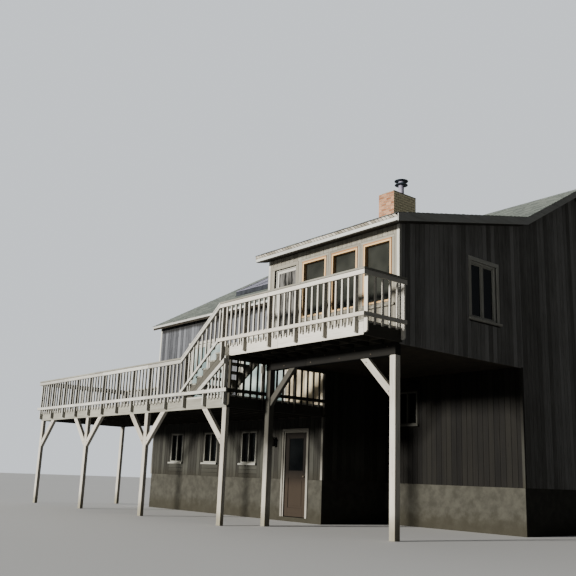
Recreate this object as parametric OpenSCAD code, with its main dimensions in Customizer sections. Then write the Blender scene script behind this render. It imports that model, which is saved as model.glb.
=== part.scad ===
// A wooden house on a slope: a long low part with a deck, a tall part on posts with a balcony.
// X runs along the front, Y runs back into the house, Z is up. Sizes are millimetres.

/* [House] */
// From the deck's left end to the left wall
side_gap = 2050; // [1500:10:2500]
// Width of the long left part
left_w = 7720; // [7000:10:8000]
// Width of the tall right part
tall_w = 3970; // [3800:10:4500]
// Depth of the house, front wall to back wall
house_d = 9144; // [8500:4:10000]
// How far the tall part's front stands before the right lower wall
undercut = 3912; // [3500:4:4200]
// Thickness of a framed wall
wall = 150; // [100:5:180]
// Thickness of a foundation wall
found = 200; // [180:5:300]

/* [Storeys] */
// Top of the basement floor
slab_z = 100; // [50:5:150]
// Top of the foundation walls
found_z = 1000; // [800:10:1200]
// Floor of the right lower storey
right_z = 1194; // [1100:2:1300]
// Main floor and lower deck
main_z = 2697; // [2600:1:2800]
// Upper floor and balcony
tall_z = 3793; // [3700:1:3900]
// Thickness of a framed floor with its joists
floor_t = 273; // [200:1:300]

/* [Roofs] */
// Front overhang of the main roof
eave_out = 200; // [100:10:300]
// Top of the main roof at its eave
eave_z = 5545; // [5500:5:5700]
// Rise of the main roof for each unit of run
main_slope = 0.565; // [0.5:0.005:0.6]
// Main roof, measured straight down
main_t = 130; // [100:5:180]
// Left overhang of the main roof
left_out = 220; // [150:10:300]
// Right overhang of both roofs
right_out = 280; // [200:10:350]
// Front overhang of the tall roof
tall_out = 305; // [200:5:400]
// Top of the tall roof at its eave
tall_eave_z = 5930; // [5850:5:6000]
// Rise of the tall roof for each unit of run
tall_slope = 0.227; // [0.2:0.001:0.25]
// Tall roof, measured straight down
tall_t = 150; // [120:5:180]
// Left overhang of the tall roof
tall_left_out = 110; // [50:5:200]
// Thickness of the boards along the roof edges
fascia_t = 25; // [20:1:40]
// Step from the roof's top down to those boards
fascia_top = 5; // [2:1:10]
// Step from the main roof's underside up to those boards
fascia_up = 15; // [0:1:20]
// Reach of the boards up the slopes below the roof's underside
rake_drop = 25; // [0:1:40]

/* [Decks] */
// Width of one bay between rail posts
bay = 813; // [780:1:830]
// Bays along the lower deck
deck_bays = 12; // [12:1:12]
// Depth of the lower deck
deck_d = 2794; // [2600:2:3000]
// Width of the balcony
balcony_w = 4065; // [4000:5:4100]
// Depth of the balcony
balcony_d = 1016; // [960:2:1100]
// Thickness of the deck boards
board_t = 38; // [25:1:40]
// Thickness of joists and rim boards
joist_t = 38; // [30:1:50]
// Width of a post's front face
post_w = 140; // [120:5:160]
// Depth of a post under the lower deck
post_d = 89; // [80:1:140]
// Reach of a knee brace along the beam, to its centre
brace_reach = 760; // [600:10:850]
// Depth of the beam under the tall part
beam_h = 233; // [200:1:260]
// Thickness of that beam
beam_t = 150; // [140:2:200]
// Beam's front face, before the tall front wall
beam_out = 100; // [80:5:150]
// Beam's left end, from the lower deck
beam_gap = 145; // [135:5:180]
// Middle of the left balcony post, from the beam's left end
beam_end = 100; // [80:5:200]

/* [Railings] */
// Height of a railing above its deck
rail_h = 928; // [900:1:1000]
// Thickness of the flat cap board
cap_t = 38; // [30:1:45]
// Depth of the board under the cap
rail_board_h = 90; // [70:5:100]
// Depth of the board near the deck
foot_board_h = 74; // [60:2:100]
// Deck to the underside of that lower board
rail_gap = 44; // [40:2:100]
// Side of a baluster
baluster = 38; // [30:1:45]
// Balusters in one bay
balusters = 4; // [3:1:5]
// Reach of the cap beyond the deck
cap_out = 130; // [128:1:150]
// Reach of the balusters below the deck's top
baluster_drop = 80; // [10:1:100]
// Pitch of the balcony's rail posts
balcony_bay = 828; // [780:1:830]
// Pitch of the short balusters under the stair
short_pitch = 125; // [100:5:200]

/* [Stair] */
// Number of risers
risers = 7; // [6:1:8]
// Going of one step
going = 244; // [220:1:250]
// Bottom of a stringer, below the line of the step edges
string_low = 378; // [340:2:420]
// Thickness of a stringer
string_t = 38; // [30:1:50]
// Start of the balcony railing, before the balcony itself
rail_lead = 276; // [250:2:300]
// Run of the stair railing
rail_run = 1464; // [1400:2:1520]
// Top of the slanted board under the stair, below the line of the step edges
slant_top = 486; // [440:2:520]
// Depth of that board, plumb
slant_h = 111; // [90:1:130]

/* [Openings] */
// Width of a window in the lower storey
low_win_w = 635; // [500:5:700]
// Sill of the basement windows
low_sill = 1335; // [1250:5:1400]
// Head of the basement windows
low_head = 2145; // [2050:5:2200]
// Left edge of the basement doorway
door_x = 8357; // [8300:1:8400]
// Width of the basement doorway
door_w = 876; // [800:2:900]
// Head of the basement doorway
door_head = 2125; // [2050:5:2150]
// Thickness of the door
door_t = 45; // [40:1:50]
// Step from the wall's face in to the door
door_in = 30; // [20:1:60]
// Gap around the door
door_gap = 8; // [6:1:12]
// Gap under the door
door_under = 15; // [8:1:20]
// Head of the windows in the tall part
tall_head = 5588; // [5500:4:5600]
// Sill of the windows in the tall part
tall_sill = 4345; // [4200:5:4500]
// Bar of a window frame
frame_w = 45; // [35:1:60]
// Depth of a window frame
frame_d = 90; // [60:5:120]
// Thickness of a sheet of glass
glass_t = 16; // [10:1:24]

/* [Skylight] */
// Left edge of the raised skylight
skylight_x = 3810; // [3000:10:4500]
// Width of the skylight
skylight_w = 2440; // [1500:10:3000]
// Front edge of the skylight
skylight_y = 4345; // [4000:5:5000]
// Depth of the skylight, measured level
skylight_run = 1575; // [1000:5:2000]
// Height above the roof
skylight_h = 165; // [80:5:200]

/* [Chimney] */
// Left face of the brick stack
stack_x = 8840; // [8500:10:9000]
// Front face of the brick stack
stack_y = 5588; // [5200:4:6200]
// Width of the brick stack
stack_w = 560; // [500:10:600]
// Depth of the brick stack
stack_d = 915; // [800:5:1000]
// Top of the brick stack
stack_z = 8940; // [8850:5:9000]
// Diameter of the metal flue
flue_d = 130; // [100:5:200]
// Height of the flue above the stack
flue_h = 590; // [400:10:700]
// Diameter of the flue's upper cap
cap_d = 400; // [300:10:450]
// Height of one cap
cap_h = 60; // [30:5:80]
// Top of the lower cap, below the top of the upper one
cap_step = 115; // [80:5:150]
// Middle of the flue, from the stack's front
flue_y = 620; // [400:10:700]

/* [Hidden] */

concrete = [0.62, 0.61, 0.58];
siding = [0.47, 0.46, 0.45];
timber = [0.66, 0.63, 0.57];
shingle = [0.40, 0.40, 0.41];
brick = [0.66, 0.42, 0.33];
metal = [0.55, 0.56, 0.58];
glass = [0.16, 0.18, 0.20];
wood_trim = [0.72, 0.52, 0.33];

// Lines of the plan
house_x = side_gap;
tall_x = house_x + left_w;
end_x = tall_x + tall_w;
front_y = deck_d;
back_y = front_y + house_d;
tall_y = balcony_d;
right_y = tall_y + undercut;
deck_w = deck_bays * bay;
balcony_x = deck_w;
balcony_end = balcony_x + balcony_w;

// Roof lines, with a hair between each roof and what it rests on
roof_gap = 1;
eave_y = front_y - eave_out;
ridge_y = (front_y + back_y) / 2;
back_eave_y = back_y + eave_out;
tall_eave_y = tall_y - tall_out;
roof_x0 = house_x - left_out;
roof_x1 = end_x + right_out;
tall_roof_x0 = tall_x - tall_left_out;
function main_top(y) = eave_z + main_slope * (min(y, 2 * ridge_y - y) - eave_y);
function main_under(y) = main_top(y) - main_t;
function tall_top(y) = tall_eave_z + tall_slope * (y - tall_eave_y);
function tall_under(y) = tall_top(y) - tall_t;
function below_main(y) = main_under(y) - roof_gap;
function below_tall(y) = tall_under(y) - roof_gap;
meet_run = tall_eave_z - tall_slope * tall_eave_y - eave_z + main_slope * eave_y;
meet_y = meet_run / (main_slope - tall_slope);
meet_under_y = (meet_run - tall_t + main_t) / (main_slope - tall_slope);

// The origin is on the ground under the middle of the whole house
mid_x = (roof_x1 - cap_out) / 2;
mid_y = (back_eave_y + fascia_t - cap_out) / 2;

main_joist_z = main_z - floor_t;
tall_joist_z = tall_z - floor_t;
beam_z = tall_joist_z - beam_h;
beam_y = tall_y - beam_out;
brace_y = beam_y + (post_w - post_d) / 2;
brace_half = post_w * 0.7;

// Posts and the beam
deck_post_x = [post_w / 2, 3150, 6400, deck_w - post_w / 2];
beam_x = deck_w + beam_gap;
balcony_post_x = [beam_x + beam_end, end_x - post_w / 2];

// Railing parts, outwards from the face of the deck
rail_post_w = 38;
rail_post_out = 89;
rail_post_drop = 235;
rail_in = 10;
rail_top = rail_h - cap_t;
rail_outer = rail_post_out + cap_t;
baluster_in = baluster - rail_post_out;
rail_lap = 10;

// Stair lines
stair_x = deck_w - risers * going;
riser = (tall_z - main_z) / risers;
stair_slope = riser / going;
stair_w = balcony_d - 60;
stair_rail_x1 = balcony_x - rail_lead;
stair_rail_x0 = stair_rail_x1 - rail_run;
rail_slope = (tall_z - main_z) / rail_run;
function nosing(x) = main_z + riser + stair_slope * (x - stair_x);
function stair_line(x) = main_z + rail_slope * (x - stair_rail_x0);
function slant_foot(x) = nosing(x) - slant_top - slant_h - main_z;
function slant_start(low) = stair_x + (foot_top - rail_lap + low - riser) / stair_slope;
post_shift = 17;
stair_foot = 10 * bay + post_shift;
stair_post_x = 11 * bay + post_shift;
foot_top = rail_gap + foot_board_h;
stair_balusters = [for (k = [1:8]) stair_foot + k * bay / 5];
short_up = 60;
lead_post_low = 390;
lead_post = 80;
balcony_lead = 45;

// Places of the railing posts along their decks
front_rail_posts = concat([rail_post_w / 2], [for (k = [1:9]) k * bay + post_shift]);
side_rail_posts = [for (k = [0:3]) rail_post_w / 2 + k * (deck_d - rail_post_w) / 3];
balcony_rail_posts = [for (k = [0:5])
    stair_rail_x1 + (k == 0 ? lead_post : balcony_lead + k * balcony_bay)];

// Windows as [start, width, sill, head], along X on front and back walls, along Y on side walls
low_windows = [for (k = [0:2]) [house_x + 1060 + 1748 * k, low_win_w, low_sill, low_head]];
right_low_window = [tall_x + 400, low_win_w, 2375, 3175];
sliding_doors = [[3810, 1830, main_z, main_z + 2040], [6350, 1950, main_z, main_z + 2040]];
balcony_door = [tall_x + 197, 760, tall_z, tall_head];
tall_windows = [for (k = [0:2]) [10950 + 930 * k, 745, tall_sill, tall_head]];
left_windows = [[4200, 900, main_z + 900, main_z + 2050], [8800, 900, main_z + 900, main_z + 2050]];
left_low_window = [6900, low_win_w, low_sill, low_head];
back_windows = [[3400, 900, main_z + 900, main_z + 2050], [6400, 900, main_z + 900, main_z + 2050],
    [11000, 900, tall_sill, tall_sill + 1000]];
back_low_windows = [[3530, low_win_w, low_sill, low_head], [6530, low_win_w, low_sill, low_head],
    [11130, low_win_w, 2375, 3175]];
right_windows = [[3200, 900, tall_sill, tall_head], [8200, 900, tall_sill, tall_head]];
right_low_windows = [[7600, low_win_w, 2375, 3175]];

// Basement door
leaf_x = door_x + frame_w + door_gap;
leaf_w = door_w - 2 * frame_w - 2 * door_gap;
leaf_z = slab_z + door_under;
leaf_h = door_head - frame_w - door_gap - leaf_z;
leaf_y = front_y + door_in;
kick_z = 1168;
stile = 115;
hinge_r = 5;
hinge_l = 100;
hinge_z = [leaf_z + 200, leaf_z + leaf_h / 2, leaf_z + leaf_h - 300];
knob_r = 22;
knob_out = 50;
knob_in = 60;
knob_z = slab_z + 950;
jamb_d = 120;
reveal = 20;
glass_in = reveal + (frame_d - glass_t) / 2;

module at_site() {
    translate([-mid_x, -mid_y, 0])
        children();
}

module box(x0, x1, y0, y1, z0, z1) {
    translate([x0, y0, z0])
        cube([x1 - x0, y1 - y0, z1 - z0]);
}

// An outline in Y and Z, drawn out along X
module along_x(x0, x1) {
    translate([x0, 0, 0])
        rotate([90, 0, 90])
            linear_extrude(x1 - x0)
                children();
}

// An outline in X and Z, drawn out along Y
module along_y(y0, y1) {
    translate([0, y1, 0])
        rotate([90, 0, 0])
            linear_extrude(y1 - y0)
                children();
}

module rect(a0, a1, b0, b1) {
    translate([a0, b0])
        square([a1 - a0, b1 - b0]);
}

module opening(w) {
    rect(w[0], w[0] + w[1], w[2], w[3]);
}

module window_ring(w, bars) {
    difference() {
        opening(w);
        rect(w[0] + frame_w, w[0] + w[1] - frame_w, w[2] + frame_w, w[3] - frame_w);
    }
    for (k = [1:1:bars])
        rect(w[0] + w[1] * k / (bars + 1) - frame_w / 2, w[0] + w[1] * k / (bars + 1) + frame_w / 2,
            w[2] + frame_w, w[3] - frame_w);
}

// The panes fill the frame and stop short of its bars
module window_panes(w, bars) {
    pane = (w[1] - (bars + 2) * frame_w) / (bars + 1);
    step = w[1] / (bars + 1);
    for (k = [0:bars]) {
        x0 = k == 0 ? w[0] + frame_w : w[0] + step * k + frame_w / 2;
        x1 = k == bars ? w[0] + w[1] - frame_w : w[0] + step * (k + 1) - frame_w / 2;
        rect(x0, x1, w[2] + frame_w, w[3] - frame_w);
    }
}

// Ground works

module basement_slab() {
    color(concrete)
        at_site()
            box(house_x + found, tall_x - found, front_y + found, back_y - found, 0, slab_z);
}

module foundation_front() {
    color(concrete)
        at_site() {
            box(house_x + found, door_x, front_y, front_y + found, 0, found_z);
            box(door_x + door_w, tall_x - found, front_y, front_y + found, 0, found_z);
            box(door_x, door_x + door_w, front_y, front_y + found, 0, slab_z);
        }
}

module foundation_left() {
    color(concrete)
        at_site()
            box(house_x, house_x + found, front_y, back_y - found, 0, found_z);
}

module foundation_back() {
    color(concrete)
        at_site()
            box(house_x, end_x, back_y - found, back_y, 0, found_z);
}

module right_foundation() {
    color(concrete)
        at_site() {
            box(tall_x - found, tall_x, front_y, back_y - found, 0, found_z);
            box(tall_x, end_x, right_y, right_y + found, 0, found_z);
            box(end_x - found, end_x, right_y, back_y - found, 0, found_z);
        }
}

// Lower storey

module lower_front_wall() {
    color(siding)
        at_site()
            along_y(front_y, front_y + wall)
                difference() {
                    rect(house_x + wall, door_x, found_z, main_joist_z);
                    for (w = low_windows)
                        opening(w);
                }
}

module wall_beside_door() {
    color(siding)
        at_site()
            box(door_x + door_w, tall_x, front_y, front_y + wall, found_z, main_joist_z);
}

module wall_over_door() {
    color(siding)
        at_site()
            box(door_x, door_x + door_w, front_y, front_y + wall, door_head, main_joist_z);
}

module left_wall() {
    color(siding)
        at_site()
            along_x(house_x, house_x + wall)
                difference() {
                    polygon([
                        [front_y, found_z], [back_y - wall, found_z],
                        [back_y - wall, below_main(back_y - wall)], [ridge_y, below_main(ridge_y)],
                        [front_y, below_main(front_y)]
                    ]);
                    for (w = left_windows)
                        opening(w);
                    opening(left_low_window);
                }
}

module back_wall() {
    color(siding)
        at_site()
            difference() {
                along_x(house_x, end_x)
                    polygon([
                        [back_y - wall, found_z], [back_y, found_z],
                        [back_y, below_main(back_y)], [back_y - wall, below_main(back_y - wall)]
                    ]);
                along_y(back_y - 2 * wall, back_y + wall) {
                    for (w = back_windows)
                        opening(w);
                    for (w = back_low_windows)
                        opening(w);
                }
            }
}

module middle_wall() {
    color(siding)
        at_site()
            box(tall_x - wall, tall_x, front_y + wall, back_y - wall, found_z, tall_z);
}

module right_front_wall() {
    color(siding)
        at_site()
            along_y(right_y, right_y + wall)
                difference() {
                    rect(tall_x, end_x - wall, found_z, tall_joist_z);
                    opening(right_low_window);
                }
}

module right_lower_wall() {
    color(siding)
        at_site()
            along_x(end_x - wall, end_x)
                difference() {
                    rect(right_y, back_y - wall, found_z, tall_joist_z);
                    for (w = right_low_windows)
                        opening(w);
                }
}

module right_floor() {
    color(timber)
        at_site()
            box(tall_x, end_x - wall, right_y + wall, back_y - wall, found_z, right_z);
}

// Main and upper storey

module main_floor() {
    color(timber)
        at_site()
            difference() {
                union() {
                    box(house_x + wall, tall_x - wall, front_y, back_y - wall, main_joist_z, main_z);
                    box(tall_x - 2 * wall, tall_x, front_y, front_y + wall, main_joist_z, main_z);
                }
                stack_hole();
            }
}

module main_front_wall() {
    color(siding)
        at_site()
            difference() {
                along_x(house_x + wall, tall_x)
                    polygon([
                        [front_y, main_z], [front_y + wall, main_z],
                        [front_y + wall, below_main(front_y + wall)], [front_y, below_main(front_y)]
                    ]);
                along_y(front_y - wall, front_y + 2 * wall)
                    for (w = sliding_doors)
                        opening(w);
            }
}

module tall_floor() {
    color(timber)
        at_site()
            box(tall_x, end_x, tall_y, back_y - wall, tall_joist_z, tall_z);
}

module tall_front_wall() {
    color(siding)
        at_site()
            difference() {
                along_x(tall_x, end_x)
                    polygon([
                        [tall_y, tall_z], [tall_y + wall, tall_z],
                        [tall_y + wall, below_tall(tall_y + wall)], [tall_y, below_tall(tall_y)]
                    ]);
                along_y(tall_y - wall, tall_y + 2 * wall) {
                    for (w = tall_windows)
                        opening(w);
                    opening(balcony_door);
                }
            }
}

module tall_left_wall() {
    color(siding)
        at_site()
            along_x(tall_x, tall_x + wall)
                polygon([
                    [tall_y + wall, tall_z], [front_y + wall, tall_z],
                    [front_y + wall, below_main(front_y + wall)],
                    [meet_under_y, below_main(meet_under_y)],
                    [tall_y + wall, below_tall(tall_y + wall)]
                ]);
}

module right_upper_wall() {
    color(siding)
        at_site()
            along_x(end_x - wall, end_x)
                difference() {
                    polygon([
                        [tall_y + wall, tall_z], [back_y - wall, tall_z],
                        [back_y - wall, below_main(back_y - wall)], [ridge_y, below_main(ridge_y)],
                        [meet_y, below_main(meet_y)], [meet_y, below_tall(meet_y)],
                        [tall_y + wall, below_tall(tall_y + wall)]
                    ]);
                    for (w = right_windows)
                        opening(w);
                }
}

// Roofs

module stack_hole() {
    box(stack_x, stack_x + stack_w, stack_y, stack_y + stack_d, -1, stack_z + 1);
}

module main_roof_left() {
    color(shingle)
        at_site()
            difference() {
                along_x(roof_x0 + fascia_t, tall_x)
                    polygon([
                        [eave_y, main_under(eave_y)], [ridge_y, main_under(ridge_y)],
                        [ridge_y, main_top(ridge_y)], [eave_y, main_top(eave_y)]
                    ]);
                stack_hole();
            }
}

module main_roof_right() {
    color(shingle)
        at_site()
            along_x(tall_x, roof_x1 - fascia_t)
                polygon([
                    [meet_y, main_under(meet_y)], [ridge_y, main_under(ridge_y)],
                    [ridge_y, main_top(ridge_y)], [meet_y, main_top(meet_y)]
                ]);
}

module main_roof_back() {
    color(shingle)
        at_site()
            along_x(roof_x0 + fascia_t, roof_x1 - fascia_t)
                polygon([
                    [ridge_y, main_under(ridge_y)], [back_eave_y, main_under(back_eave_y)],
                    [back_eave_y, main_top(back_eave_y)], [ridge_y, main_top(ridge_y)]
                ]);
}

module tall_roof() {
    color(shingle)
        at_site()
            difference() {
                along_x(tall_roof_x0, roof_x1 - fascia_t)
                    polygon([
                        [tall_eave_y, tall_under(tall_eave_y)], [meet_y, tall_under(meet_y)],
                        [meet_y, tall_top(meet_y)], [tall_eave_y, tall_top(tall_eave_y)]
                    ]);
                along_x(tall_roof_x0 - 1, tall_x)
                    polygon([
                        [eave_y, main_top(eave_y)], [meet_y + 1, main_top(meet_y + 1)],
                        [meet_y + 1, eave_z - wall], [eave_y, eave_z - wall]
                    ]);
            }
}

module chimney() {
    color(brick)
        at_site()
            intersection() {
                stack_hole();
                box(0, end_x, 0, back_y, slab_z, stack_z);
            }
}

module chimney_flue() {
    color(metal)
        at_site()
            translate([stack_x + stack_w / 2, stack_y + flue_y, stack_z]) {
                cylinder(h = flue_h - cap_h, d = flue_d, $fn = 32);
                translate([0, 0, flue_h - cap_h])
                    cylinder(h = cap_h, d1 = cap_d, d2 = flue_d, $fn = 32);
                translate([0, 0, flue_h - cap_h - cap_step])
                    cylinder(h = cap_h, d1 = cap_d * 0.8, d2 = flue_d, $fn = 32);
            }
}

module roof_skylight() {
    color(glass)
        at_site()
            along_x(skylight_x, skylight_x + skylight_w)
                polygon([
                    [skylight_y, main_top(skylight_y) + roof_gap],
                    [skylight_y + skylight_run, main_top(skylight_y + skylight_run) + roof_gap],
                    [skylight_y + skylight_run, main_top(skylight_y + skylight_run) + skylight_h],
                    [skylight_y, main_top(skylight_y) + skylight_h]
                ]);
}

// Boards along the eaves, and up the slopes at both ends
module roof_fascias() {
    color(timber)
        at_site() {
            box(roof_x0, tall_roof_x0, eave_y - fascia_t, eave_y,
                main_under(eave_y) + fascia_up, eave_z - fascia_top);
            box(tall_roof_x0, roof_x1, tall_eave_y - fascia_t, tall_eave_y,
                tall_under(tall_eave_y), tall_eave_z - fascia_top);
            box(roof_x0, roof_x1, back_eave_y, back_eave_y + fascia_t,
                main_under(back_eave_y) + fascia_up, main_top(back_eave_y) - fascia_top);
            along_x(roof_x0, roof_x0 + fascia_t)
                polygon([
                    [eave_y, main_under(eave_y)], [ridge_y, main_under(ridge_y) - rake_drop],
                    [back_eave_y, main_under(back_eave_y)], [back_eave_y, main_top(back_eave_y)],
                    [ridge_y, main_top(ridge_y)], [eave_y, main_top(eave_y)]
                ]);
            along_x(roof_x1 - fascia_t, roof_x1)
                polygon([
                    [tall_eave_y, tall_under(tall_eave_y)], [meet_y, tall_under(meet_y) - rake_drop],
                    [ridge_y, main_under(ridge_y) - rake_drop], [back_eave_y, main_under(back_eave_y)],
                    [back_eave_y, main_top(back_eave_y)], [ridge_y, main_top(ridge_y)],
                    [meet_y, main_top(meet_y)], [tall_eave_y, tall_top(tall_eave_y)]
                ]);
        }
}

// Lower deck

module lower_deck_boards() {
    color(timber)
        at_site()
            box(0, deck_w, 0, deck_d, main_z - board_t, main_z);
}

// Rim boards round the joists, as one frame
module joist_frame(x0, x1, y0, y1, z0, z1, count) {
    pitch = (x1 - x0 - joist_t) / count;
    difference() {
        box(x0, x1, y0, y1, z0, z1);
        for (k = [0:count - 1])
            box(x0 + joist_t + k * pitch, x0 + (k + 1) * pitch, y0 + joist_t, y1 - joist_t, z0 - 1, z1 + 1);
    }
}

module lower_deck_frame() {
    color(timber)
        at_site()
            joist_frame(0, deck_w, 0, deck_d, main_joist_z, main_z - board_t, 2 * deck_bays);
}

module deck_posts() {
    color(timber)
        at_site() {
            for (x = deck_post_x)
                box(x - post_w / 2, x + post_w / 2, 0, post_d, 0, main_joist_z);
            box(0, post_w, deck_d - post_d, deck_d, 0, main_joist_z);
        }
}

// A brace from a post at x up to a beam, leaning to the side
module brace(x, side, y0, y1, top) {
    reach = brace_reach + brace_half;
    inner = brace_reach - brace_half;
    along_y(y0, y1)
        polygon([
            [x + side * inner, top], [x + side * reach, top],
            [x + side * post_w / 2, top - reach + post_w / 2],
            [x + side * post_w / 2, top - inner + post_w / 2]
        ]);
}

module deck_braces() {
    color(timber)
        at_site() {
            for (k = [0:2])
                brace(deck_post_x[k], 1, 0, post_d, main_joist_z);
            for (k = [1:3])
                brace(deck_post_x[k], -1, 0, post_d, main_joist_z);
        }
}

// Railings, drawn from x = 0 with the outside towards -Y and the deck at z = 0

module balusters_along(places, top) {
    for (n = [0:len(places) - 2])
        for (k = [1:balusters]) {
            x = places[n] + (places[n + 1] - places[n]) * k / (balusters + 1);
            box(x - baluster / 2, x + baluster / 2, -rail_post_out, baluster_in, -baluster_drop, top);
        }
}

module rail_posts(places, top) {
    for (x = places)
        box(x - rail_post_w / 2, x + rail_post_w / 2, -rail_post_out, 0, -rail_post_drop, top);
}

module rail_boards(x0, x1, top) {
    box(x0, x1, -rail_outer, -rail_post_out, rail_gap, foot_top);
    box(x0, x1, -rail_outer, -rail_post_out, top - rail_board_h, top);
}

module rail_bays(x0, x1, places, top) {
    rail_posts(places, top);
    rail_boards(x0, x1, top);
    balusters_along(places, top);
}

module on_side(x, y, z, turn) {
    translate([x, y, z])
        rotate([0, 0, turn])
            children();
}

// The front railing also closes the triangle under the stair
module lower_rail_front() {
    color(timber)
        at_site()
            on_side(0, 0, main_z, 0) {
                rail_posts(front_rail_posts, rail_top);
                balusters_along(concat(front_rail_posts, [stair_foot]), rail_top);
                box(-rail_outer, deck_w + rail_outer, -rail_outer, -rail_post_out, rail_gap, foot_top);
                box(-rail_outer, stair_rail_x0, -rail_outer, -rail_post_out,
                    rail_top - rail_board_h, rail_top);
                box(-cap_out, stair_rail_x0, -cap_out, rail_in, rail_top, rail_h);
                rail_posts([stair_foot], foot_top);
                rail_posts([stair_post_x], slant_foot(stair_post_x) + short_up);
                rail_posts([deck_w - rail_post_w / 2], tall_joist_z - main_z);
                for (k = [1:5]) {
                    x = stair_post_x + short_pitch * (k + 0.5);
                    box(x, x + baluster, -rail_post_out, baluster_in,
                        -baluster_drop, slant_foot(x) + short_up);
                }
                along_y(-rail_outer, -rail_post_out)
                    polygon([
                        [slant_start(slant_top), foot_top - rail_lap],
                        [slant_start(slant_top + slant_h), foot_top - rail_lap],
                        [deck_w, slant_foot(deck_w)], [deck_w, slant_foot(deck_w) + slant_h]
                    ]);
            }
}

module lower_rail_left() {
    color(timber)
        at_site()
            on_side(0, deck_d, main_z, -90) {
                rail_boards(-rail_outer, deck_d + rail_post_out, rail_top);
                rail_posts(side_rail_posts, rail_top);
                balusters_along(side_rail_posts, rail_top);
                box(-cap_out, deck_d - rail_in, -cap_out, rail_in, rail_top, rail_h);
            }
}

module lower_rail_back() {
    places = [rail_post_w / 2, side_gap / 2, side_gap - rail_post_w / 2];
    color(timber)
        at_site()
            on_side(house_x, deck_d, main_z, 180) {
                rail_bays(0, side_gap + rail_post_out, places, rail_top);
                box(0, side_gap - rail_in, -cap_out, rail_in, rail_top, rail_h);
            }
}

// Under the balcony this railing stops at the floor above
module lower_rail_side() {
    color(timber)
        at_site()
            on_side(deck_w, 0, main_z, 90)
                rail_bays(-rail_post_out, deck_d, side_rail_posts, tall_joist_z - main_z);
}

// Balcony

module balcony_boards() {
    color(timber)
        at_site()
            box(balcony_x, balcony_end, 0, balcony_d, tall_z - board_t, tall_z);
}

module balcony_frame() {
    color(timber)
        at_site()
            joist_frame(balcony_x, balcony_end, 0, balcony_d, tall_joist_z, tall_z - board_t, 10);
}

module main_beam() {
    color(timber)
        at_site()
            box(beam_x, end_x, beam_y, beam_y + beam_t, beam_z, tall_joist_z);
}

module balcony_posts() {
    color(timber)
        at_site()
            for (x = balcony_post_x)
                box(x - post_w / 2, x + post_w / 2, beam_y, beam_y + post_w, 0, beam_z);
}

module balcony_braces() {
    color(timber)
        at_site() {
            brace(balcony_post_x[0], 1, brace_y, brace_y + post_d, beam_z);
            brace(balcony_post_x[1], -1, brace_y, brace_y + post_d, beam_z);
        }
}

module balcony_rail_front() {
    color(timber)
        at_site()
            on_side(0, 0, tall_z, 0) {
                rail_posts(balcony_rail_posts, rail_top);
                balusters_along(balcony_rail_posts, rail_top);
                rail_boards(stair_rail_x1, balcony_end + rail_outer, rail_top);
                box(stair_rail_x1, balcony_end + cap_out, -cap_out, rail_in, rail_top, rail_h);
                box(balcony_rail_posts[0] - rail_post_w / 2, balcony_rail_posts[0] + rail_post_w / 2,
                    -rail_post_out, 0, -lead_post_low, 0);
            }
}

module balcony_rail_right() {
    places = [rail_post_w / 2, balcony_d - rail_post_w / 2];
    color(timber)
        at_site()
            on_side(balcony_end, 0, tall_z, 90) {
                rail_bays(-rail_post_out, balcony_d, places, rail_top);
                box(rail_in, balcony_d, -cap_out, rail_in, rail_top, rail_h);
            }
}

// Stair up to the balcony

module stringer(y0) {
    foot = stair_x + (string_low - riser) / stair_slope;
    along_y(y0, y0 + string_t)
        polygon(concat(
            [[foot, main_z], [stair_x, main_z]],
            [for (k = [1:risers]) for (end = [0, 1])
                [stair_x + (k - 1 + end) * going, main_z + k * riser - board_t]],
            [[deck_w, tall_z + riser - string_low]]
        ));
}

module stair_stringers() {
    color(timber)
        at_site() {
            stringer(0);
            stringer(stair_w - string_t);
        }
}

module stair_treads() {
    color(timber)
        at_site()
            for (k = [1:risers]) {
                x = stair_x + (k - 1) * going;
                z = main_z + k * riser;
                box(x, x + going, 0, stair_w, z - board_t, z);
            }
}

// A bar along the slope of the stair railing, from a to b above the deck line
module sloped_bar(x0, x1, y0, y1, a, b) {
    along_y(y0, y1)
        polygon([
            [x0, stair_line(x0) + a], [x1, stair_line(x1) + a],
            [x1, stair_line(x1) + b], [x0, stair_line(x0) + b]
        ]);
}

module stair_post(x, low) {
    box(x - rail_post_w / 2, x + rail_post_w / 2, -rail_post_out, 0,
        main_z + low, stair_line(x) + rail_top - rail_board_h);
}

module stair_rail() {
    color(timber)
        at_site() {
            sloped_bar(stair_rail_x0, stair_rail_x1, -cap_out, rail_in, rail_top, rail_h);
            sloped_bar(stair_rail_x0, stair_rail_x1, -rail_outer, -rail_post_out,
                rail_top - rail_board_h, rail_top + rail_lap);
            along_y(-rail_outer, -rail_post_out)
                polygon([
                    [stair_rail_x0, main_z + foot_top],
                    [stair_rail_x0 + foot_board_h / rail_slope, main_z + foot_top],
                    [stair_rail_x1, tall_z + rail_gap],
                    [stair_rail_x1, tall_z + foot_top]
                ]);
            for (x = stair_balusters)
                sloped_bar(x - baluster / 2, x + baluster / 2, -rail_post_out, baluster_in,
                    rail_gap + rail_lap, rail_top + rail_lap);
            stair_post(stair_foot, foot_top);
        }
}

// Windows and doors

// Solids in the front, back, left and right walls, each set a little way in from the outer face
module in_front(y, depth, inset) {
    along_y(y + inset, y + inset + depth)
        children();
}

module in_back(depth, inset) {
    along_y(back_y - inset - depth, back_y - inset)
        children();
}

module in_left(depth, inset) {
    along_x(house_x + inset, house_x + inset + depth)
        children();
}

module in_right(depth, inset) {
    along_x(end_x - inset - depth, end_x - inset)
        children();
}

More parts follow.
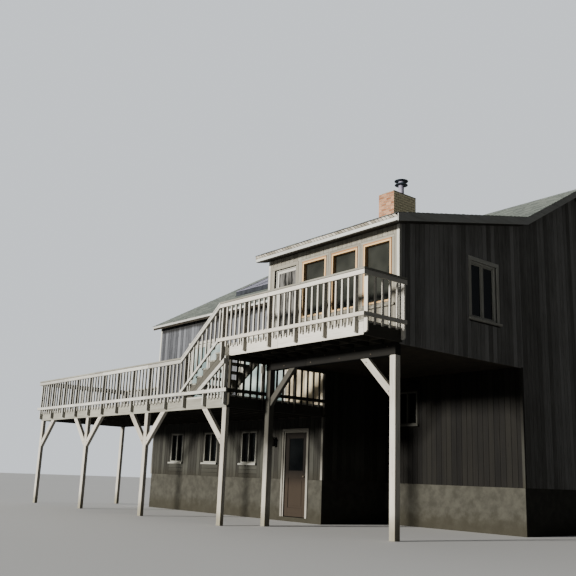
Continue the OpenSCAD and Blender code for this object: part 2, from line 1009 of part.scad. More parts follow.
module lower_window_frames() {
    color(timber)
        at_site() {
            for (w = low_windows)
                in_front(front_y, frame_d, reveal)
                    window_ring(w, 1);
            in_front(right_y, frame_d, reveal)
                window_ring(right_low_window, 1);
            in_left(frame_d, reveal)
                window_ring(left_low_window, 1);
            for (w = back_low_windows)
                in_back(frame_d, reveal)
                    window_ring(w, 1);
            for (w = right_low_windows)
                in_right(frame_d, reveal)
                    window_ring(w, 1);
        }
}

module lower_window_glass() {
    color(glass)
        at_site() {
            for (w = low_windows)
                in_front(front_y, glass_t, glass_in)
                    window_panes(w, 1);
            in_front(right_y, glass_t, glass_in)
                window_panes(right_low_window, 1);
            in_left(glass_t, glass_in)
                window_panes(left_low_window, 1);
            for (w = back_low_windows)
                in_back(glass_t, glass_in)
                    window_panes(w, 1);
            for (w = right_low_windows)
                in_right(glass_t, glass_in)
                    window_panes(w, 1);
        }
}

module tall_window_frames() {
    color(wood_trim)
        at_site()
            in_front(tall_y, frame_d, reveal) {
                for (w = tall_windows)
                    window_ring(w, 0);
                window_ring(balcony_door, 0);
            }
}

module tall_window_glass() {
    color(glass)
        at_site()
            in_front(tall_y, glass_t, glass_in) {
                for (w = tall_windows)
                    window_panes(w, 0);
                window_panes(balcony_door, 0);
            }
}

module side_window_frames() {
    color(timber)
        at_site() {
            for (w = left_windows)
                in_left(frame_d, reveal)
                    window_ring(w, 1);
            for (w = back_windows)
                in_back(frame_d, reveal)
                    window_ring(w, 1);
            for (w = right_windows)
                in_right(frame_d, reveal)
                    window_ring(w, 1);
        }
}

module side_window_glass() {
    color(glass)
        at_site() {
            for (w = left_windows)
                in_left(glass_t, glass_in)
                    window_panes(w, 1);
            for (w = back_windows)
                in_back(glass_t, glass_in)
                    window_panes(w, 1);
            for (w = right_windows)
                in_right(glass_t, glass_in)
                    window_panes(w, 1);
        }
}

module sliding_door_frames() {
    color(timber)
        at_site()
            in_front(front_y, frame_d, reveal)
                for (w = sliding_doors)
                    window_ring(w, 1);
}

module sliding_door_glass() {
    color(glass)
        at_site()
            in_front(front_y, glass_t, glass_in)
                for (w = sliding_doors)
                    window_panes(w, 1);
}

module door_frame() {
    color(timber)
        at_site()
            along_y(front_y, front_y + jamb_d)
                difference() {
                    rect(door_x, door_x + door_w, slab_z, door_head);
                    rect(door_x + frame_w, door_x + door_w - frame_w, slab_z - 1, door_head - frame_w);
                }
}

module door_pane() {
    rect(leaf_x + stile, leaf_x + leaf_w - stile, kick_z, leaf_z + leaf_h - stile);
}

module basement_door() {
    color(wood_trim)
        at_site() {
            along_y(leaf_y, leaf_y + door_t)
                difference() {
                    rect(leaf_x, leaf_x + leaf_w, leaf_z, leaf_z + leaf_h);
                    door_pane();
                }
            for (z = hinge_z)
                translate([leaf_x, leaf_y + door_t, z])
                    cylinder(h = hinge_l, r = hinge_r, $fn = 24);
            translate([leaf_x + leaf_w - knob_in, leaf_y - knob_out, knob_z])
                rotate([-90, 0, 0])
                    cylinder(h = door_t + 2 * knob_out, r = knob_r, $fn = 24);
        }
}

module basement_door_glass() {
    color(glass)
        at_site()
            along_y(leaf_y + (door_t - glass_t) / 2, leaf_y + (door_t + glass_t) / 2)
                door_pane();
}

basement_slab();
foundation_front();
foundation_left();
foundation_back();
right_foundation();
lower_front_wall();
wall_beside_door();
wall_over_door();
left_wall();
back_wall();
middle_wall();
main_floor();
main_front_wall();
right_front_wall();
right_lower_wall();
right_floor();
tall_floor();
tall_front_wall();
tall_left_wall();
right_upper_wall();
main_roof_left();
main_roof_right();
main_roof_back();
tall_roof();
roof_fascias();
roof_skylight();
chimney();
chimney_flue();
lower_deck_boards();
lower_deck_frame();
deck_posts();
deck_braces();
lower_rail_front();
lower_rail_left();
lower_rail_back();
lower_rail_side();
balcony_boards();
balcony_frame();
main_beam();
balcony_posts();
balcony_braces();
balcony_rail_front();
balcony_rail_right();
stair_stringers();
stair_treads();
stair_rail();
lower_window_frames();
lower_window_glass();
tall_window_frames();
tall_window_glass();
side_window_frames();
side_window_glass();
sliding_door_frames();
sliding_door_glass();
door_frame();
basement_door();
basement_door_glass();
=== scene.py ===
# A wooden beach house on posts: its boards, shingles, bricks and glass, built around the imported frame.
import math
import random

import bmesh
import bpy
from mathutils import Matrix, Vector


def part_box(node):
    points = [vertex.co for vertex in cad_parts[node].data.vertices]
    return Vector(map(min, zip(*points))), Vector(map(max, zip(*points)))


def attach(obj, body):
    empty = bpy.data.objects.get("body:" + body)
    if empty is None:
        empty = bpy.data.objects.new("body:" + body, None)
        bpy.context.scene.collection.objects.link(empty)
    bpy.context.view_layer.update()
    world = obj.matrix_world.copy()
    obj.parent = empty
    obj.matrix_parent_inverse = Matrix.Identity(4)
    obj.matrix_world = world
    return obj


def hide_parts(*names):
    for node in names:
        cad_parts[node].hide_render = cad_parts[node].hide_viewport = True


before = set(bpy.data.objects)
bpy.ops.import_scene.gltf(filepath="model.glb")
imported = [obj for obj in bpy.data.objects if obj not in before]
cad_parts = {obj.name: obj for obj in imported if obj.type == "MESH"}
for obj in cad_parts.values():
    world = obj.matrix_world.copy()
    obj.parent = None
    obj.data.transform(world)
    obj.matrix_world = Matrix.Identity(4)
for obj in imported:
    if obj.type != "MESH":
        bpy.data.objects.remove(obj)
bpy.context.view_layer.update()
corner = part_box("lower_deck_boards")[0]
corner.z = 0  # all lengths below start at the deck's front left corner, on the ground
hair = 0.0005  # parts faces that would touch
fineEdge, boardEdges, capEdge, sharpest = 0.002, 0.0025, 0.004, 40  # bevels, and the least angle in degrees


# Materials, written as sums of wires

class Wire:  # one value in a material
    def __init__(self, finish, socket):
        self.finish = finish
        self.socket = socket

    def maths(self, operation, first, second):
        return self.finish.node("ShaderNodeMath", {"operation": operation}, {0: first, 1: second})

    def __add__(self, other):
        return self.maths("ADD", self, other)

    def __sub__(self, other):
        return self.maths("SUBTRACT", self, other)

    def __rsub__(self, other):
        return self.maths("SUBTRACT", other, self)

    def __mul__(self, other):
        return self.maths("MULTIPLY", self, other)

    __radd__ = __add__
    __rmul__ = __mul__


def shade(tone):  # a colour as a screen shows it, from 0 to 255, in linear light
    return tuple((value / 255) ** 2.2 for value in tone) + (1,)


finishes = {}
# Painted shade: faces turned right or down, away from the sun, are mixed towards a tone, by default this
# near-black one
paintedShadeSide = {"facing": (0.75, 0.1, -0.65), "from": 0.15, "to": 0.6, "tone": (0.004, 0.004, 0.003, 1)}


class Finish:  # a material or a world in the making
    def __init__(self, name, kind=bpy.data.materials):
        self.name = name
        self.made = kind.new(name)
        self.made.use_nodes = True
        self.tree = self.made.node_tree
        self.tree.nodes.clear()

    def node(self, kind, settings=None, sockets=None, output=0):
        made = self.tree.nodes.new(kind)
        for name, value in (settings or {}).items():
            setattr(made, name, value)
        for name, value in (sockets or {}).items():
            if isinstance(value, Wire):
                self.tree.links.new(value.socket, made.inputs[name])
            else:
                made.inputs[name].default_value = value
        return Wire(self, made.outputs[output]) if made.outputs else made

    def place(self):  # the point on the object, in metres
        return self.node("ShaderNodeTexCoord", output=3)

    def grain(self):  # the point on its own board, with x along the fibres
        return self.node("ShaderNodeAttribute", {"attribute_name": "grain"}, output=1)

    def tone(self):  # a number from 0 to 1 that differs from board to board
        return self.node("ShaderNodeAttribute", {"attribute_name": "tone"}, output=2)

    def stretched(self, point, by):
        return self.node("ShaderNodeVectorMath", {"operation": "MULTIPLY"}, {0: point, 1: by})

    def height(self):
        return self.node("ShaderNodeSeparateXYZ", None, {0: self.place()}, output=2)

    def noise(self, point, scale, detail=3.0, roughness=0.55):
        return self.node("ShaderNodeTexNoise", None,
                         {"Vector": point, "Scale": scale, "Detail": detail, "Roughness": roughness})

    def ease(self, value, low, high):  # 0 below low, 1 above high, and smooth between
        return self.node("ShaderNodeMapRange", {"interpolation_type": "SMOOTHSTEP"},
                         {"Value": value, "From Min": low, "From Max": high})

    def mix(self, factor, first, second):
        return self.node("ShaderNodeMix", {"data_type": "RGBA"}, {0: factor, 6: first, 7: second}, output=2)

    def fade(self, colour, jitter, fades):  # towards another tone between two heights
        for start, end, tone, strength in fades:
            at = self.height() + (jitter - 0.5) * abs(end - start)
            colour = self.mix(self.ease(at, start, end) * strength, colour, shade(tone))
        return colour

    def surface(self, colour, roughness, height=None, bump=0.3, reach=0.002, lee=0.55,
                paintedSideTone=paintedShadeSide["tone"], shine=0.12, **fixed):
        if lee:  # painted shade: faces turned right or down, away from the sun, are mixed darker
            normal = self.node("ShaderNodeTexCoord", output=1)
            turned = self.node("ShaderNodeVectorMath", {"operation": "DOT_PRODUCT"},
                               {0: normal, 1: paintedShadeSide["facing"]}, output=1)
            colour = self.mix(self.ease(turned, paintedShadeSide["from"], paintedShadeSide["to"]) * lee, colour, paintedSideTone)
        sockets = {"Base Color": colour, "Roughness": roughness, "Specular IOR Level": shine, **fixed}
        if height:
            sockets["Normal"] = self.node("ShaderNodeBump", None,
                                          {"Strength": bump, "Distance": reach, "Height": height})
        shader = self.node("ShaderNodeBsdfPrincipled", None, sockets)
        self.node("ShaderNodeOutputMaterial", None, {0: shader})
        finishes[self.name] = self.made


# How far each pattern is squeezed along x, y and z of a board, and where its wear turns
woodGrain = {"fibres": (1.5, 38, 38), "bands": (0.6, 9, 9), "knots": (1.6, 7, 7), "cracks": (0.9, 60, 60),
             "spread": 0.33, "split": (40, 37, 32)}


def woodFinish(name, pale, dark, streak=0.5, vary=0.35, stain=0.3, rough=0.8, fades=(), lee=0.55):
    finish = Finish(name)
    grain = finish.grain()
    dark = shade(dark)
    fibres = finish.noise(finish.stretched(grain, woodGrain["fibres"]), 2.2, 5, 0.65)
    bands = finish.noise(finish.stretched(grain, woodGrain["bands"]), 2.0, 3)
    patches = finish.noise(finish.place(), 1.1, 4, 0.6)
    broad = 0.6 - streak * 0.4
    wear = fibres * streak + bands * broad + patches * stain + finish.tone() * vary
    middle = 0.5 * (streak + broad + stain + vary)
    worn = finish.ease(wear, middle - woodGrain["spread"], middle + woodGrain["spread"])
    colour = finish.mix(worn, dark, shade(pale))
    knots = finish.node("ShaderNodeTexVoronoi", {"feature": "F1"},
                        {"Vector": finish.stretched(grain, woodGrain["knots"]), "Scale": 0.9})
    colour = finish.mix(finish.ease(0.11 - knots, 0, 0.06) * 0.5, colour, dark)
    colour = finish.fade(colour, patches, fades)
    cracks = finish.ease(finish.noise(finish.stretched(grain, woodGrain["cracks"]), 1.5, 2), 0.36, 0.30)
    colour = finish.mix(cracks * 0.35, colour, shade(woodGrain["split"]))
    finish.surface(colour, fibres * 0.2 + (rough - 0.1), fibres - cracks * 1.5, 0.35, 0.003, lee)


def rawFinish(name, pale, dark, scale=3.0, rough=0.85, bump=0.3, reach=0.004, fades=(), **fixed):
    finish = Finish(name)
    place = finish.place()
    coarse = finish.noise(place, scale, 5, 0.6)
    fine = finish.noise(place, scale * 14, 3, 0.6)
    colour = finish.mix(finish.ease(coarse * 0.7 + fine * 0.3, 0.35, 0.65), shade(dark), shade(pale))
    colour = finish.fade(colour, coarse, fades)
    finish.surface(colour, fine * 0.15 + (rough - 0.08), coarse * 0.4 + fine * 0.6, bump, reach, **fixed)


def glassFinish(name, pale, dark, rough=0.06, across=1.4, up=1.4):
    finish = Finish(name)
    # Painted reflection: pale and dark patches in the glass colour, which also vary its roughness
    paintedReflection = finish.noise(finish.stretched(finish.place(), (across, 1, up)), 1.0, 2)
    colour = finish.mix(finish.ease(paintedReflection, 0.35, 0.65), shade(dark), shade(pale))
    waves = finish.noise(finish.place(), 2.5, 1)
    finish.surface(colour, paintedReflection * 0.06 + rough, waves, 0.04, 0.01, 0, shine=0.4)


def toneFinish(name, pale, dark, rough=0.85, grit=90.0, bump=0.5, reach=0.002, cast=None, lee=0.3,
               paintedSideTone=paintedShadeSide["tone"]):
    finish = Finish(name)
    speck = finish.noise(finish.grain(), grit, 3, 0.7)
    patches = finish.noise(finish.place(), 0.9, 4, 0.6)
    worn = finish.ease(finish.tone() * 0.55 + speck * 0.35 + patches * 0.4, 0.35, 0.95)
    colour = finish.mix(worn, shade(dark), shade(pale))
    if cast:
        colour = finish.mix(finish.ease(patches, 0.5, 0.7) * 0.5, colour, shade(cast))
    finish.surface(colour, speck * 0.1 + (rough - 0.05), speck, bump, reach, lee, paintedSideTone)


damp = (0.5, 0.1, (92, 88, 70), 0.7)  # the feet of posts, in the grass
woodFinish("deckTimber", (176, 175, 168), (118, 115, 107), 0.45, 0.3, 0.25, lee=0.4)
woodFinish("capTimber", (142, 142, 132), (102, 99, 90), 0.4, 0.3, 0.25)
woodFinish("rimTimber", (192, 189, 180), (160, 155, 144), 0.35, 0.25, 0.25)
woodFinish("fasciaPaint", (178, 180, 176), (142, 142, 137), 0.3, 0.25)
woodFinish("postTimber", (178, 174, 164), (128, 123, 112), 0.5, 0.3, lee=0.3, fades=[damp])
woodFinish("shadedPostTimber", (164, 161, 152), (116, 112, 102), 0.5, 0.3, lee=0.3,
           fades=[(0.7, 1.9, (44, 43, 38), 0.92), damp])
# Painted shade: the stair's stringers are darker than the deck timber, for the shade they stand in
woodFinish("stringerTimber", (94, 92, 85), (54, 52, 46), 0.5, 0.3, 0.35)
woodFinish("shadedTimber", (58, 56, 50), (32, 30, 26), 0.5, 0.3)
# Dark timber under the decks and eaves: partly the joists' own older wood, partly painted shade
woodFinish("joistTimber", (60, 57, 50), (36, 33, 28), 0.5, 0.3)
# Painted shade: near-black timber for the recessed right wall and the beam under the tall part
woodFinish("gloomTimber", (27, 26, 23), (14, 13, 12), 0.5, 0.4)
# Painted shade: the main front wall's boards are darker and bluer than beside the sliding doors, with a
# painted shadow band under the eave above 5.24 m
woodFinish("frontSiding", (102, 104, 108), (52, 53, 56), 0.5, 0.4, fades=[(5.24, 5.34, (30, 30, 29), 0.9)])
woodFinish("greySiding", (104, 103, 101), (62, 61, 58), 0.5, 0.4, lee=0.2)
# Painted shade: the boards under the deck are dark and darken further from 1.5 m up to 2.2 m; below 1.3 m
# they turn browner
woodFinish("lowSiding", (56, 56, 51), (32, 31, 28), 0.5, 0.4, 0.35, lee=0.2,
           fades=[(1.5, 2.2, (24, 23, 20), 0.75), (1.3, 0.95, (40, 38, 31), 0.6)])
woodFinish("tallSiding", (132, 129, 118), (100, 96, 86), 0.35, 0.25, lee=0.7)
# Painted light: the same wall's boards beside the sliding doors, made brighter and warmer as in sunlight
woodFinish("shelteredSiding", (206, 195, 170), (150, 138, 114), 0.4)
woodFinish("paleTrim", (186, 186, 177), (146, 143, 134), 0.35, 0.25)
# Painted shade: the low windows' trim, darker than the pale trim, darkens further from 1.3 m up to 1.95 m
# under the deck
woodFinish("dullTrim", (138, 138, 131), (100, 99, 91), 0.35, 0.25, fades=[(1.3, 1.95, (50, 49, 45), 0.9)])
# Painted shade: the basement door's and corners' trim darkens from 0.8 m up to 1.5 m, under the deck
woodFinish("doorTrim", (140, 137, 129), (100, 97, 89), 0.35, 0.25, fades=[(0.8, 1.5, (56, 55, 50), 0.9)])
woodFinish("tanFrame", (168, 124, 82), (120, 78, 46), 0.45, 0.2, 0.25, 0.6)
woodFinish("creamFrame", (200, 170, 128), (160, 128, 88), 0.4, 0.2, 0.25, 0.65)
# Painted shade: the door leaf is near black above, turning lighter brown from 1.2 m down to 0.7 m
woodFinish("doorTimber", (27, 24, 21), (17, 15, 13), 0.5, 0.2, 0.25, 0.9, [(1.2, 0.7, (54, 47, 40), 0.7)])
toneFinish("roofShingle", (98, 103, 98), (79, 84, 81), 0.95)
toneFinish("shakeEnd", (158, 154, 144), (112, 107, 96), 0.9, 60.0)
# Painted light: bricks facing right are mixed towards a pale olive grey, lighter than the sun leaves them
toneFinish("firedBrick", (166, 126, 98), (116, 76, 54), 0.88, 45.0, 0.6, 0.003, (140, 116, 94), 0.8,
           shade((216, 208, 176)))
rawFinish("galvanised", (136, 133, 146), (108, 105, 120), 6.0, 0.6, 0.1, 0.001, lee=0.2)
rawFinish("hoodMetal", (66, 76, 84), (42, 48, 56), 8.0, 0.6, 0.1, 0.001, lee=0.2)
rawFinish("boltMetal", (96, 88, 78), (56, 48, 40), 30.0, 0.6, 0.2, 0.001, Metallic=0.5)
rawFinish("sashMetal", (122, 121, 134), (96, 95, 108), 4.0, 0.5, 0.1, 0.001, lee=0.2)
rawFinish("darkBand", (48, 51, 56), (28, 30, 34), 5.0, 0.7)
rawFinish("lanternMetal", (34, 32, 30), (18, 16, 15), 20.0, 0.5, 0.2, 0.001, Metallic=0.4)
rawFinish("castConcrete", (62, 61, 55), (48, 47, 42), 5.0, 0.9, 0.4, 0.006, [(0.5, 0.1, (44, 42, 34), 0.7)])
rawFinish("wallCore", (30, 28, 25), (18, 16, 14), 4.0)
rawFinish("roofSheathing", (44, 40, 34), (26, 24, 20), 4.0)
rawFinish("floorTimber", (58, 51, 41), (36, 31, 25), 4.0)
rawFinish("mortar", (160, 150, 134), (120, 110, 96), 12.0, 0.95, 0.5, 0.004)
glassFinish("darkPane", (14, 15, 15), (6, 7, 7))
glassFinish("tallPane", (50, 51, 47), (37, 38, 35))
# Painted reflections: pale streaks on the balcony door's glass, lavender sky on the skylight, pale teal sky
# on the sliding doors
glassFinish("doorPane", (96, 95, 92), (24, 24, 23), 0.06, 14, 2.2)
glassFinish("skyPane", (112, 111, 126), (90, 89, 103), 0.4)
glassFinish("skyReflectionPane", (150, 160, 156), (96, 112, 112), 0.12)
print("finishes ready")


# Shapes

class Block:  # an upright box, in metres from the corner
    def __init__(self, low, high):
        self.x0, self.y0, self.z0 = low
        self.x1, self.y1, self.z1 = high
        self.x, self.y = (self.x0 + self.x1) / 2, (self.y0 + self.y1) / 2


def solidsOf(node):  # a box round each separate solid of a CAD node, from left to right
    mesh = bmesh.new()
    mesh.from_mesh(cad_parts[node].data)
    bmesh.ops.remove_doubles(mesh, verts=mesh.verts, dist=0.0001)
    waiting = set(mesh.verts)
    found = []
    while waiting:
        edge = [waiting.pop()]
        island = []
        while edge:
            vertex = edge.pop()
            island.append(vertex.co - corner)
            fresh = {link.other_vert(vertex) for link in vertex.link_edges} & waiting
            waiting -= fresh
            edge += fresh
        found.append(Block([min(p[k] for p in island) for k in range(3)],
                           [max(p[k] for p in island) for k in range(3)]))
    mesh.free()
    return sorted(found, key=lambda b: (round(b.x0, 3), round(b.y0, 3), round(b.z0, 3)))


def blockOf(node):
    low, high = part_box(node)
    return Block(low - corner, high - corner)


def sides(low, high, inner, outer):  # two spans, mirrored, that reach past low and high
    return (low - outer, low - inner), (high + inner, high + outer)


def raised(pair, axis, level):  # a point of a flat drawing, set at a level of the axis it is square to
    return (*pair[:axis], level, *pair[axis:])


class Joinery:  # a piece made of many solids
    def __init__(self, name, seed=1):
        self.name = name
        self.dice = random.Random(seed)
        self.points = []
        self.faces = []
        self.grains = []
        self.tones = []
        self.place = Matrix.Identity(4)

    def loft(self, rings, along=0, tone=None):  # one solid through rings of points
        first = len(self.points)
        shift = [self.dice.uniform(0, 40) for k in range(3)]
        tone = self.dice.random() if tone is None else tone
        order = (along, (along + 1) % 3, (along + 2) % 3)
        for point in [point for ring in rings for point in ring]:
            self.points.append(corner + self.place @ Vector(point))
            self.grains += [point[order[k]] + shift[k] for k in range(3)]
            self.tones.append(tone)
        count = len(rings[0])
        last = len(self.points) - count
        self.faces += [list(range(first, first + count)), list(range(last, last + count))]
        for start in range(first, last, count):
            for k in range(count):
                a, b = start + k, start + (k + 1) % count
                self.faces.append([a, b, b + count, a + count])

    def prism(self, outline, axis, start, end, along=None, tone=None):  # an outline drawn out along an axis
        rings = [[raised(pair, axis, level) for pair in outline] for level in (start, end)]
        self.loft(rings, axis if along is None else along, tone)

    def plank(self, x0, x1, y0, y1, z0, z1, along=0):
        self.prism([(y0, z0), (y1, z0), (y1, z1), (y0, z1)], 0, x0, x1, along)

    def block(self, block, along=0):
        self.plank(block.x0, block.x1, block.y0, block.y1, block.z0, block.z1, along)

    def lengths(self, places, y0, y1, z0, z1, gap=0.001):  # boards end to end from place to place
        for a, b in zip(places[:-1], places[1:]):
            self.plank(a + gap, b - gap, y0, y1, z0, z1)

    def ring(self, x0, x1, y0, y1, z0, z1, width):  # a frame of two stiles and two rails
        self.plank(x0, x0 + width, y0, y1, z0, z1, 2)
        self.plank(x1 - width, x1, y0, y1, z0, z1, 2)
        self.plank(x0 + width, x1 - width, y0, y1, z1 - width, z1)
        self.plank(x0 + width, x1 - width, y0, y1, z0, z0 + width)

    def turned(self, profile, centre, sides=24, axis=2):  # (radius, height) pairs spun round an axis
        rings = []
        for radius, level in profile:
            angles = [2 * math.pi * k / sides for k in range(sides)]
            circle = [raised((radius * math.cos(a), radius * math.sin(a)), axis, level) for a in angles]
            rings.append([[centre[n] + point[n] for n in range(3)] for point in circle])
        self.loft(rings, axis)

    def make(self, finish, bevel=0.003, body="house", instead=()):
        mesh = bpy.data.meshes.new(self.name)
        mesh.from_pydata(self.points, [], self.faces)
        shell = bmesh.new()
        shell.from_mesh(mesh)
        bmesh.ops.recalc_face_normals(shell, faces=shell.faces)
        shell.to_mesh(mesh)
        shell.free()
        mesh.attributes.new("grain", "FLOAT_VECTOR", "POINT").data.foreach_set("vector", self.grains)
        mesh.attributes.new("tone", "FLOAT", "POINT").data.foreach_set("value", self.tones)
        mesh.materials.append(finishes[finish])
        piece = bpy.data.objects.new(self.name, mesh)
        bpy.context.scene.collection.objects.link(piece)
        if bevel:
            edges = piece.modifiers.new("edges", "BEVEL")
            edges.width = bevel
            edges.limit_method = "ANGLE"
            edges.angle_limit = math.radians(sharpest)
        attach(piece, body)
        if instead:
            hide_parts(*instead)
        print("made", self.name, len(self.faces), "faces")


class Wall:  # a wall's face: x runs to the right as seen from outside, y = 0 is the face and -y is outside
    def __init__(self, turn, face):
        self.turn = turn
        shift = (0, face, 0) if turn in (0, 180) else (face, 0, 0)
        self.matrix = Matrix.Translation(shift) @ Matrix.Rotation(math.radians(turn), 4, "Z")

    def hole(self, block, margin=0.0):  # start, end, bottom and top of a block seen square on
        spans = {0: (block.x0, block.x1), 90: (block.y0, block.y1),
                 180: (-block.x1, -block.x0), -90: (-block.y1, -block.y0)}
        start, end = spans[self.turn]
        return (start - margin, end + margin, block.z0 - margin, block.z1 + margin)


class Roof:  # a slope that rises with y, and its mirror image beyond the ridge
    def __init__(self, eaveY, eaveZ, slope, thick, ridgeY=math.inf):
        self.eaveY = eaveY
        self.eaveZ = eaveZ
        self.slope = slope
        self.thick = thick
        self.ridgeY = ridgeY

    def top(self, y):
        return self.eaveZ + self.slope * (min(y, 2 * self.ridgeY - y) - self.eaveY)

    def under(self, y):
        return self.top(y) - self.thick

    def slab(self, a, b, low, high):  # an outline over the roof from y = a to y = b
        start, end = self.top(a), self.top(b)
        return [(a, start + low), (b, end + low), (b, end + high), (a, start + high)]

    def lining(self, a, b, thick):  # the same against its underside
        return self.slab(a, b, -self.thick - thick, -self.thick - hair)


# Main lines of the house, from the frame

deck, balcony = blockOf("lower_deck_boards"), blockOf("balcony_boards")
lowJoists, tallJoists = blockOf("lower_deck_frame"), blockOf("balcony_frame")
sideWall, tallWall, doorWay = blockOf("left_wall"), blockOf("tall_front_wall"), blockOf("door_frame")
stack, slab, roofBox = blockOf("chimney"), blockOf("basement_slab"), blockOf("roof_fascias")
leftX, midX, endX = sideWall.x0, tallWall.x0, tallWall.x1
frontY, backY = blockOf("lower_front_wall").y0, blockOf("back_wall").y1
tallY, rightY = tallWall.y0, blockOf("right_front_wall").y0
mainZ, tallZ, footZ = deck.z1, balcony.z1, sideWall.z0
joistZ, tallJoistZ = lowJoists.z0, blockOf("tall_floor").z0
roofX0, roofX1, tallX0 = roofBox.x0, roofBox.x1, blockOf("tall_roof").x0
ridgeY = (frontY + backY) / 2
mainRoof = Roof(frontY - 0.2, 5.545, 0.565, 0.13, ridgeY)
tallRoof = Roof(tallY - 0.305, 5.93, 0.227, 0.15)
eave, tallEave = mainRoof.eaveY, tallRoof.eaveY
backEaveY = 2 * ridgeY - eave
meetY = (tallRoof.top(0) - mainRoof.top(0)) / (mainRoof.slope - tallRoof.slope)

front, tallFront, rightFront = Wall(0, frontY), Wall(0, tallY), Wall(0, rightY)
right, middle = Wall(90, endX), Wall(90, midX)
back, left, tallLeft = Wall(180, backY), Wall(-90, leftX), Wall(-90, midX)

# Windows and what each stands in

lowFrames, sideFrames = solidsOf("lower_window_frames"), solidsOf("side_window_frames")
tallFrames, sliders = solidsOf("tall_window_frames"), solidsOf("sliding_door_frames")


def wallOf(block, inset=0.02):  # the wall that a window's frame sits in
    depths = {front: block.y0 - frontY, rightFront: block.y0 - rightY, back: backY - block.y1,
              left: block.x0 - leftX, right: endX - block.x1, tallFront: block.y0 - tallY}
    return min(depths, key=lambda wall: abs(depths[wall] - inset))


caseWidth = 0.075
openings = {}
for block in lowFrames + sideFrames + tallFrames + sliders:
    openings.setdefault(wallOf(block), []).append(wallOf(block).hole(block, caseWidth))
doorHole = front.hole(doorWay, caseWidth)
openings[front].append((doorHole[0], doorHole[1], 0.0, doorHole[3]))
panels = [(block.x0 - caseWidth, block.x1 + caseWidth, footZ - 0.03, block.z0 - 0.05)
          for block in lowFrames if wallOf(block) is front]
openings[front] += panels
print("main lines found")

# Siding

board = {"width": 0.14, "gap": 0.006, "thick": 0.018, "least": 0.02}
joint = 0.003


def level(value, at):
    return value(at) if callable(value) else value


def boardEdge(at, low, high, notches):  # the points up one edge of a board, round what it leaves free
    points = []
    reached = low
    for inner, bottom, top in sorted(notches, key=lambda notch: notch[1]):
        bottom, top = max(bottom, reached), min(top, high)
        if top <= bottom:
            continue
        if bottom > reached:
            points += [(at, reached), (at, bottom)]
        points += [(inner, bottom), (inner, top)]
        reached = top
    if high > reached:
        points += [(at, reached), (at, high)]
    return [point for n, point in enumerate(points) if n == 0 or point != points[n - 1]]


def clad(joinery, wall, start, end, low, high, gap=board["gap"]):  # upright boards round a wall's openings
    joinery.place = wall.matrix
    holes = openings.get(wall, ())
    count = max(1, round((end - start) / (board["width"] + gap)))
    pitch = (end - start) / count
    for k in range(count):
        a = start + k * pitch + gap / 2
        b = start + (k + 1) * pitch - gap / 2
        through = sorted((h for h in holes if h[0] <= a and h[1] >= b), key=lambda h: h[2])
        partial = [h for h in holes if h not in through and h[0] < b and h[1] > a]
        bottom = (level(low, a), level(low, b))
        tone = joinery.dice.random()
        for hole in through + [None]:
            top = (level(high, a), level(high, b))
            if hole:
                top = (min(top[0], hole[2]), min(top[1], hole[2]))
            if min(top) - max(bottom) > board["least"]:
                rights = boardEdge(b, bottom[1], top[1], [(h[0], *h[2:]) for h in partial if h[1] >= b])
                lefts = boardEdge(a, bottom[0], top[0], [h[1:] for h in partial if h[0] <= a])
                joinery.prism(rights + lefts[::-1], 1, -board["thick"], -hair, 2, tone)
            if hole:
                bottom = (max(bottom[0], hole[3]), max(bottom[1], hole[3]))


def siding(name, seed, finish, *faces, low=()):
    joinery = Joinery(name, seed)
    for face in faces:
        clad(joinery, *face)
    joinery.place = front.matrix
    for start, end, bottom, top in low:  # level boards close the wall below each window
        step = (top - bottom) / 3
        for z in (bottom, bottom + step, bottom + 2 * step):
            joinery.plank(start + 0.004, end - 0.004, -0.016, -hair, z + joint, z + step - joint)
    joinery.make(finish, boardEdges)


def headUnder(roof, side=1):  # the top of the boards below a roof, where y is side times u
    return lambda u: roof.under(side * u) - joint


mainFoot, tallFoot = mainZ + 0.004, tallZ + 0.004
wallFoot, hungFoot = footZ - 0.02, tallJoistZ - 0.02
lowHead, hungHead, mainHead = joistZ - joint, tallJoistZ - joint, mainRoof.under(frontY - 0.02) - joint
shelterX = sliders[-1].x1 + caseWidth
siding("lower_siding", 11, "lowSiding", (front, leftX, midX, wallFoot, lowHead),
       (middle, frontY, rightY - 0.02, wallFoot, hungHead), low=panels)
siding("right_lower_siding", 16, "gloomTimber", (rightFront, midX + 0.02, endX, wallFoot, hungHead))
siding("main_front_siding", 12, "frontSiding", (front, leftX, shelterX, mainFoot, mainHead))
siding("main_siding", 15, "greySiding",
       (left, -backY, -frontY, wallFoot, headUnder(mainRoof, -1)),
       (back, -endX, -leftX, wallFoot, mainHead),
       (right, rightY, meetY, wallFoot, headUnder(tallRoof)),
       (right, meetY, backY, wallFoot, headUnder(mainRoof)),
       (right, tallY, rightY, hungFoot, headUnder(tallRoof)))
siding("sheltered_siding", 13, "shelteredSiding", (front, shelterX, midX, mainFoot, mainHead))
siding("tall_siding", 14, "tallSiding",
       (tallFront, midX, endX, tallFoot, tallRoof.under(tallY - 0.02) - joint, 0.003),
       (tallLeft, -eave, -tallY, hungFoot, headUnder(tallRoof, -1)),
       (tallLeft, -meetY + 0.1, -eave, lambda u: mainRoof.top(-u) + 0.02, headUnder(tallRoof, -1)),
       (tallLeft, -frontY, -eave, hungFoot, mainRoof.under(eave) - 0.004))

# Corner boards

edge = {"wide": 0.045, "thick": 0.022, "main": mainRoof.under(frontY - 0.03) - 0.004,
        "tall": tallRoof.under(tallY - 0.03) - 0.004}


def cornerBoards(joinery, x, y, outX, outY, bottom, top):
    outer = (x + outX * edge["thick"], y + outY * edge["thick"])
    for xs, ys in (((x - outX * edge["wide"], outer[0]), (y + outY * hair, outer[1])),
                   ((x + outX * hair, outer[0]), (y - outY * edge["wide"], y + outY * hair))):
        joinery.plank(*sorted(xs), *sorted(ys), bottom, top, 2)


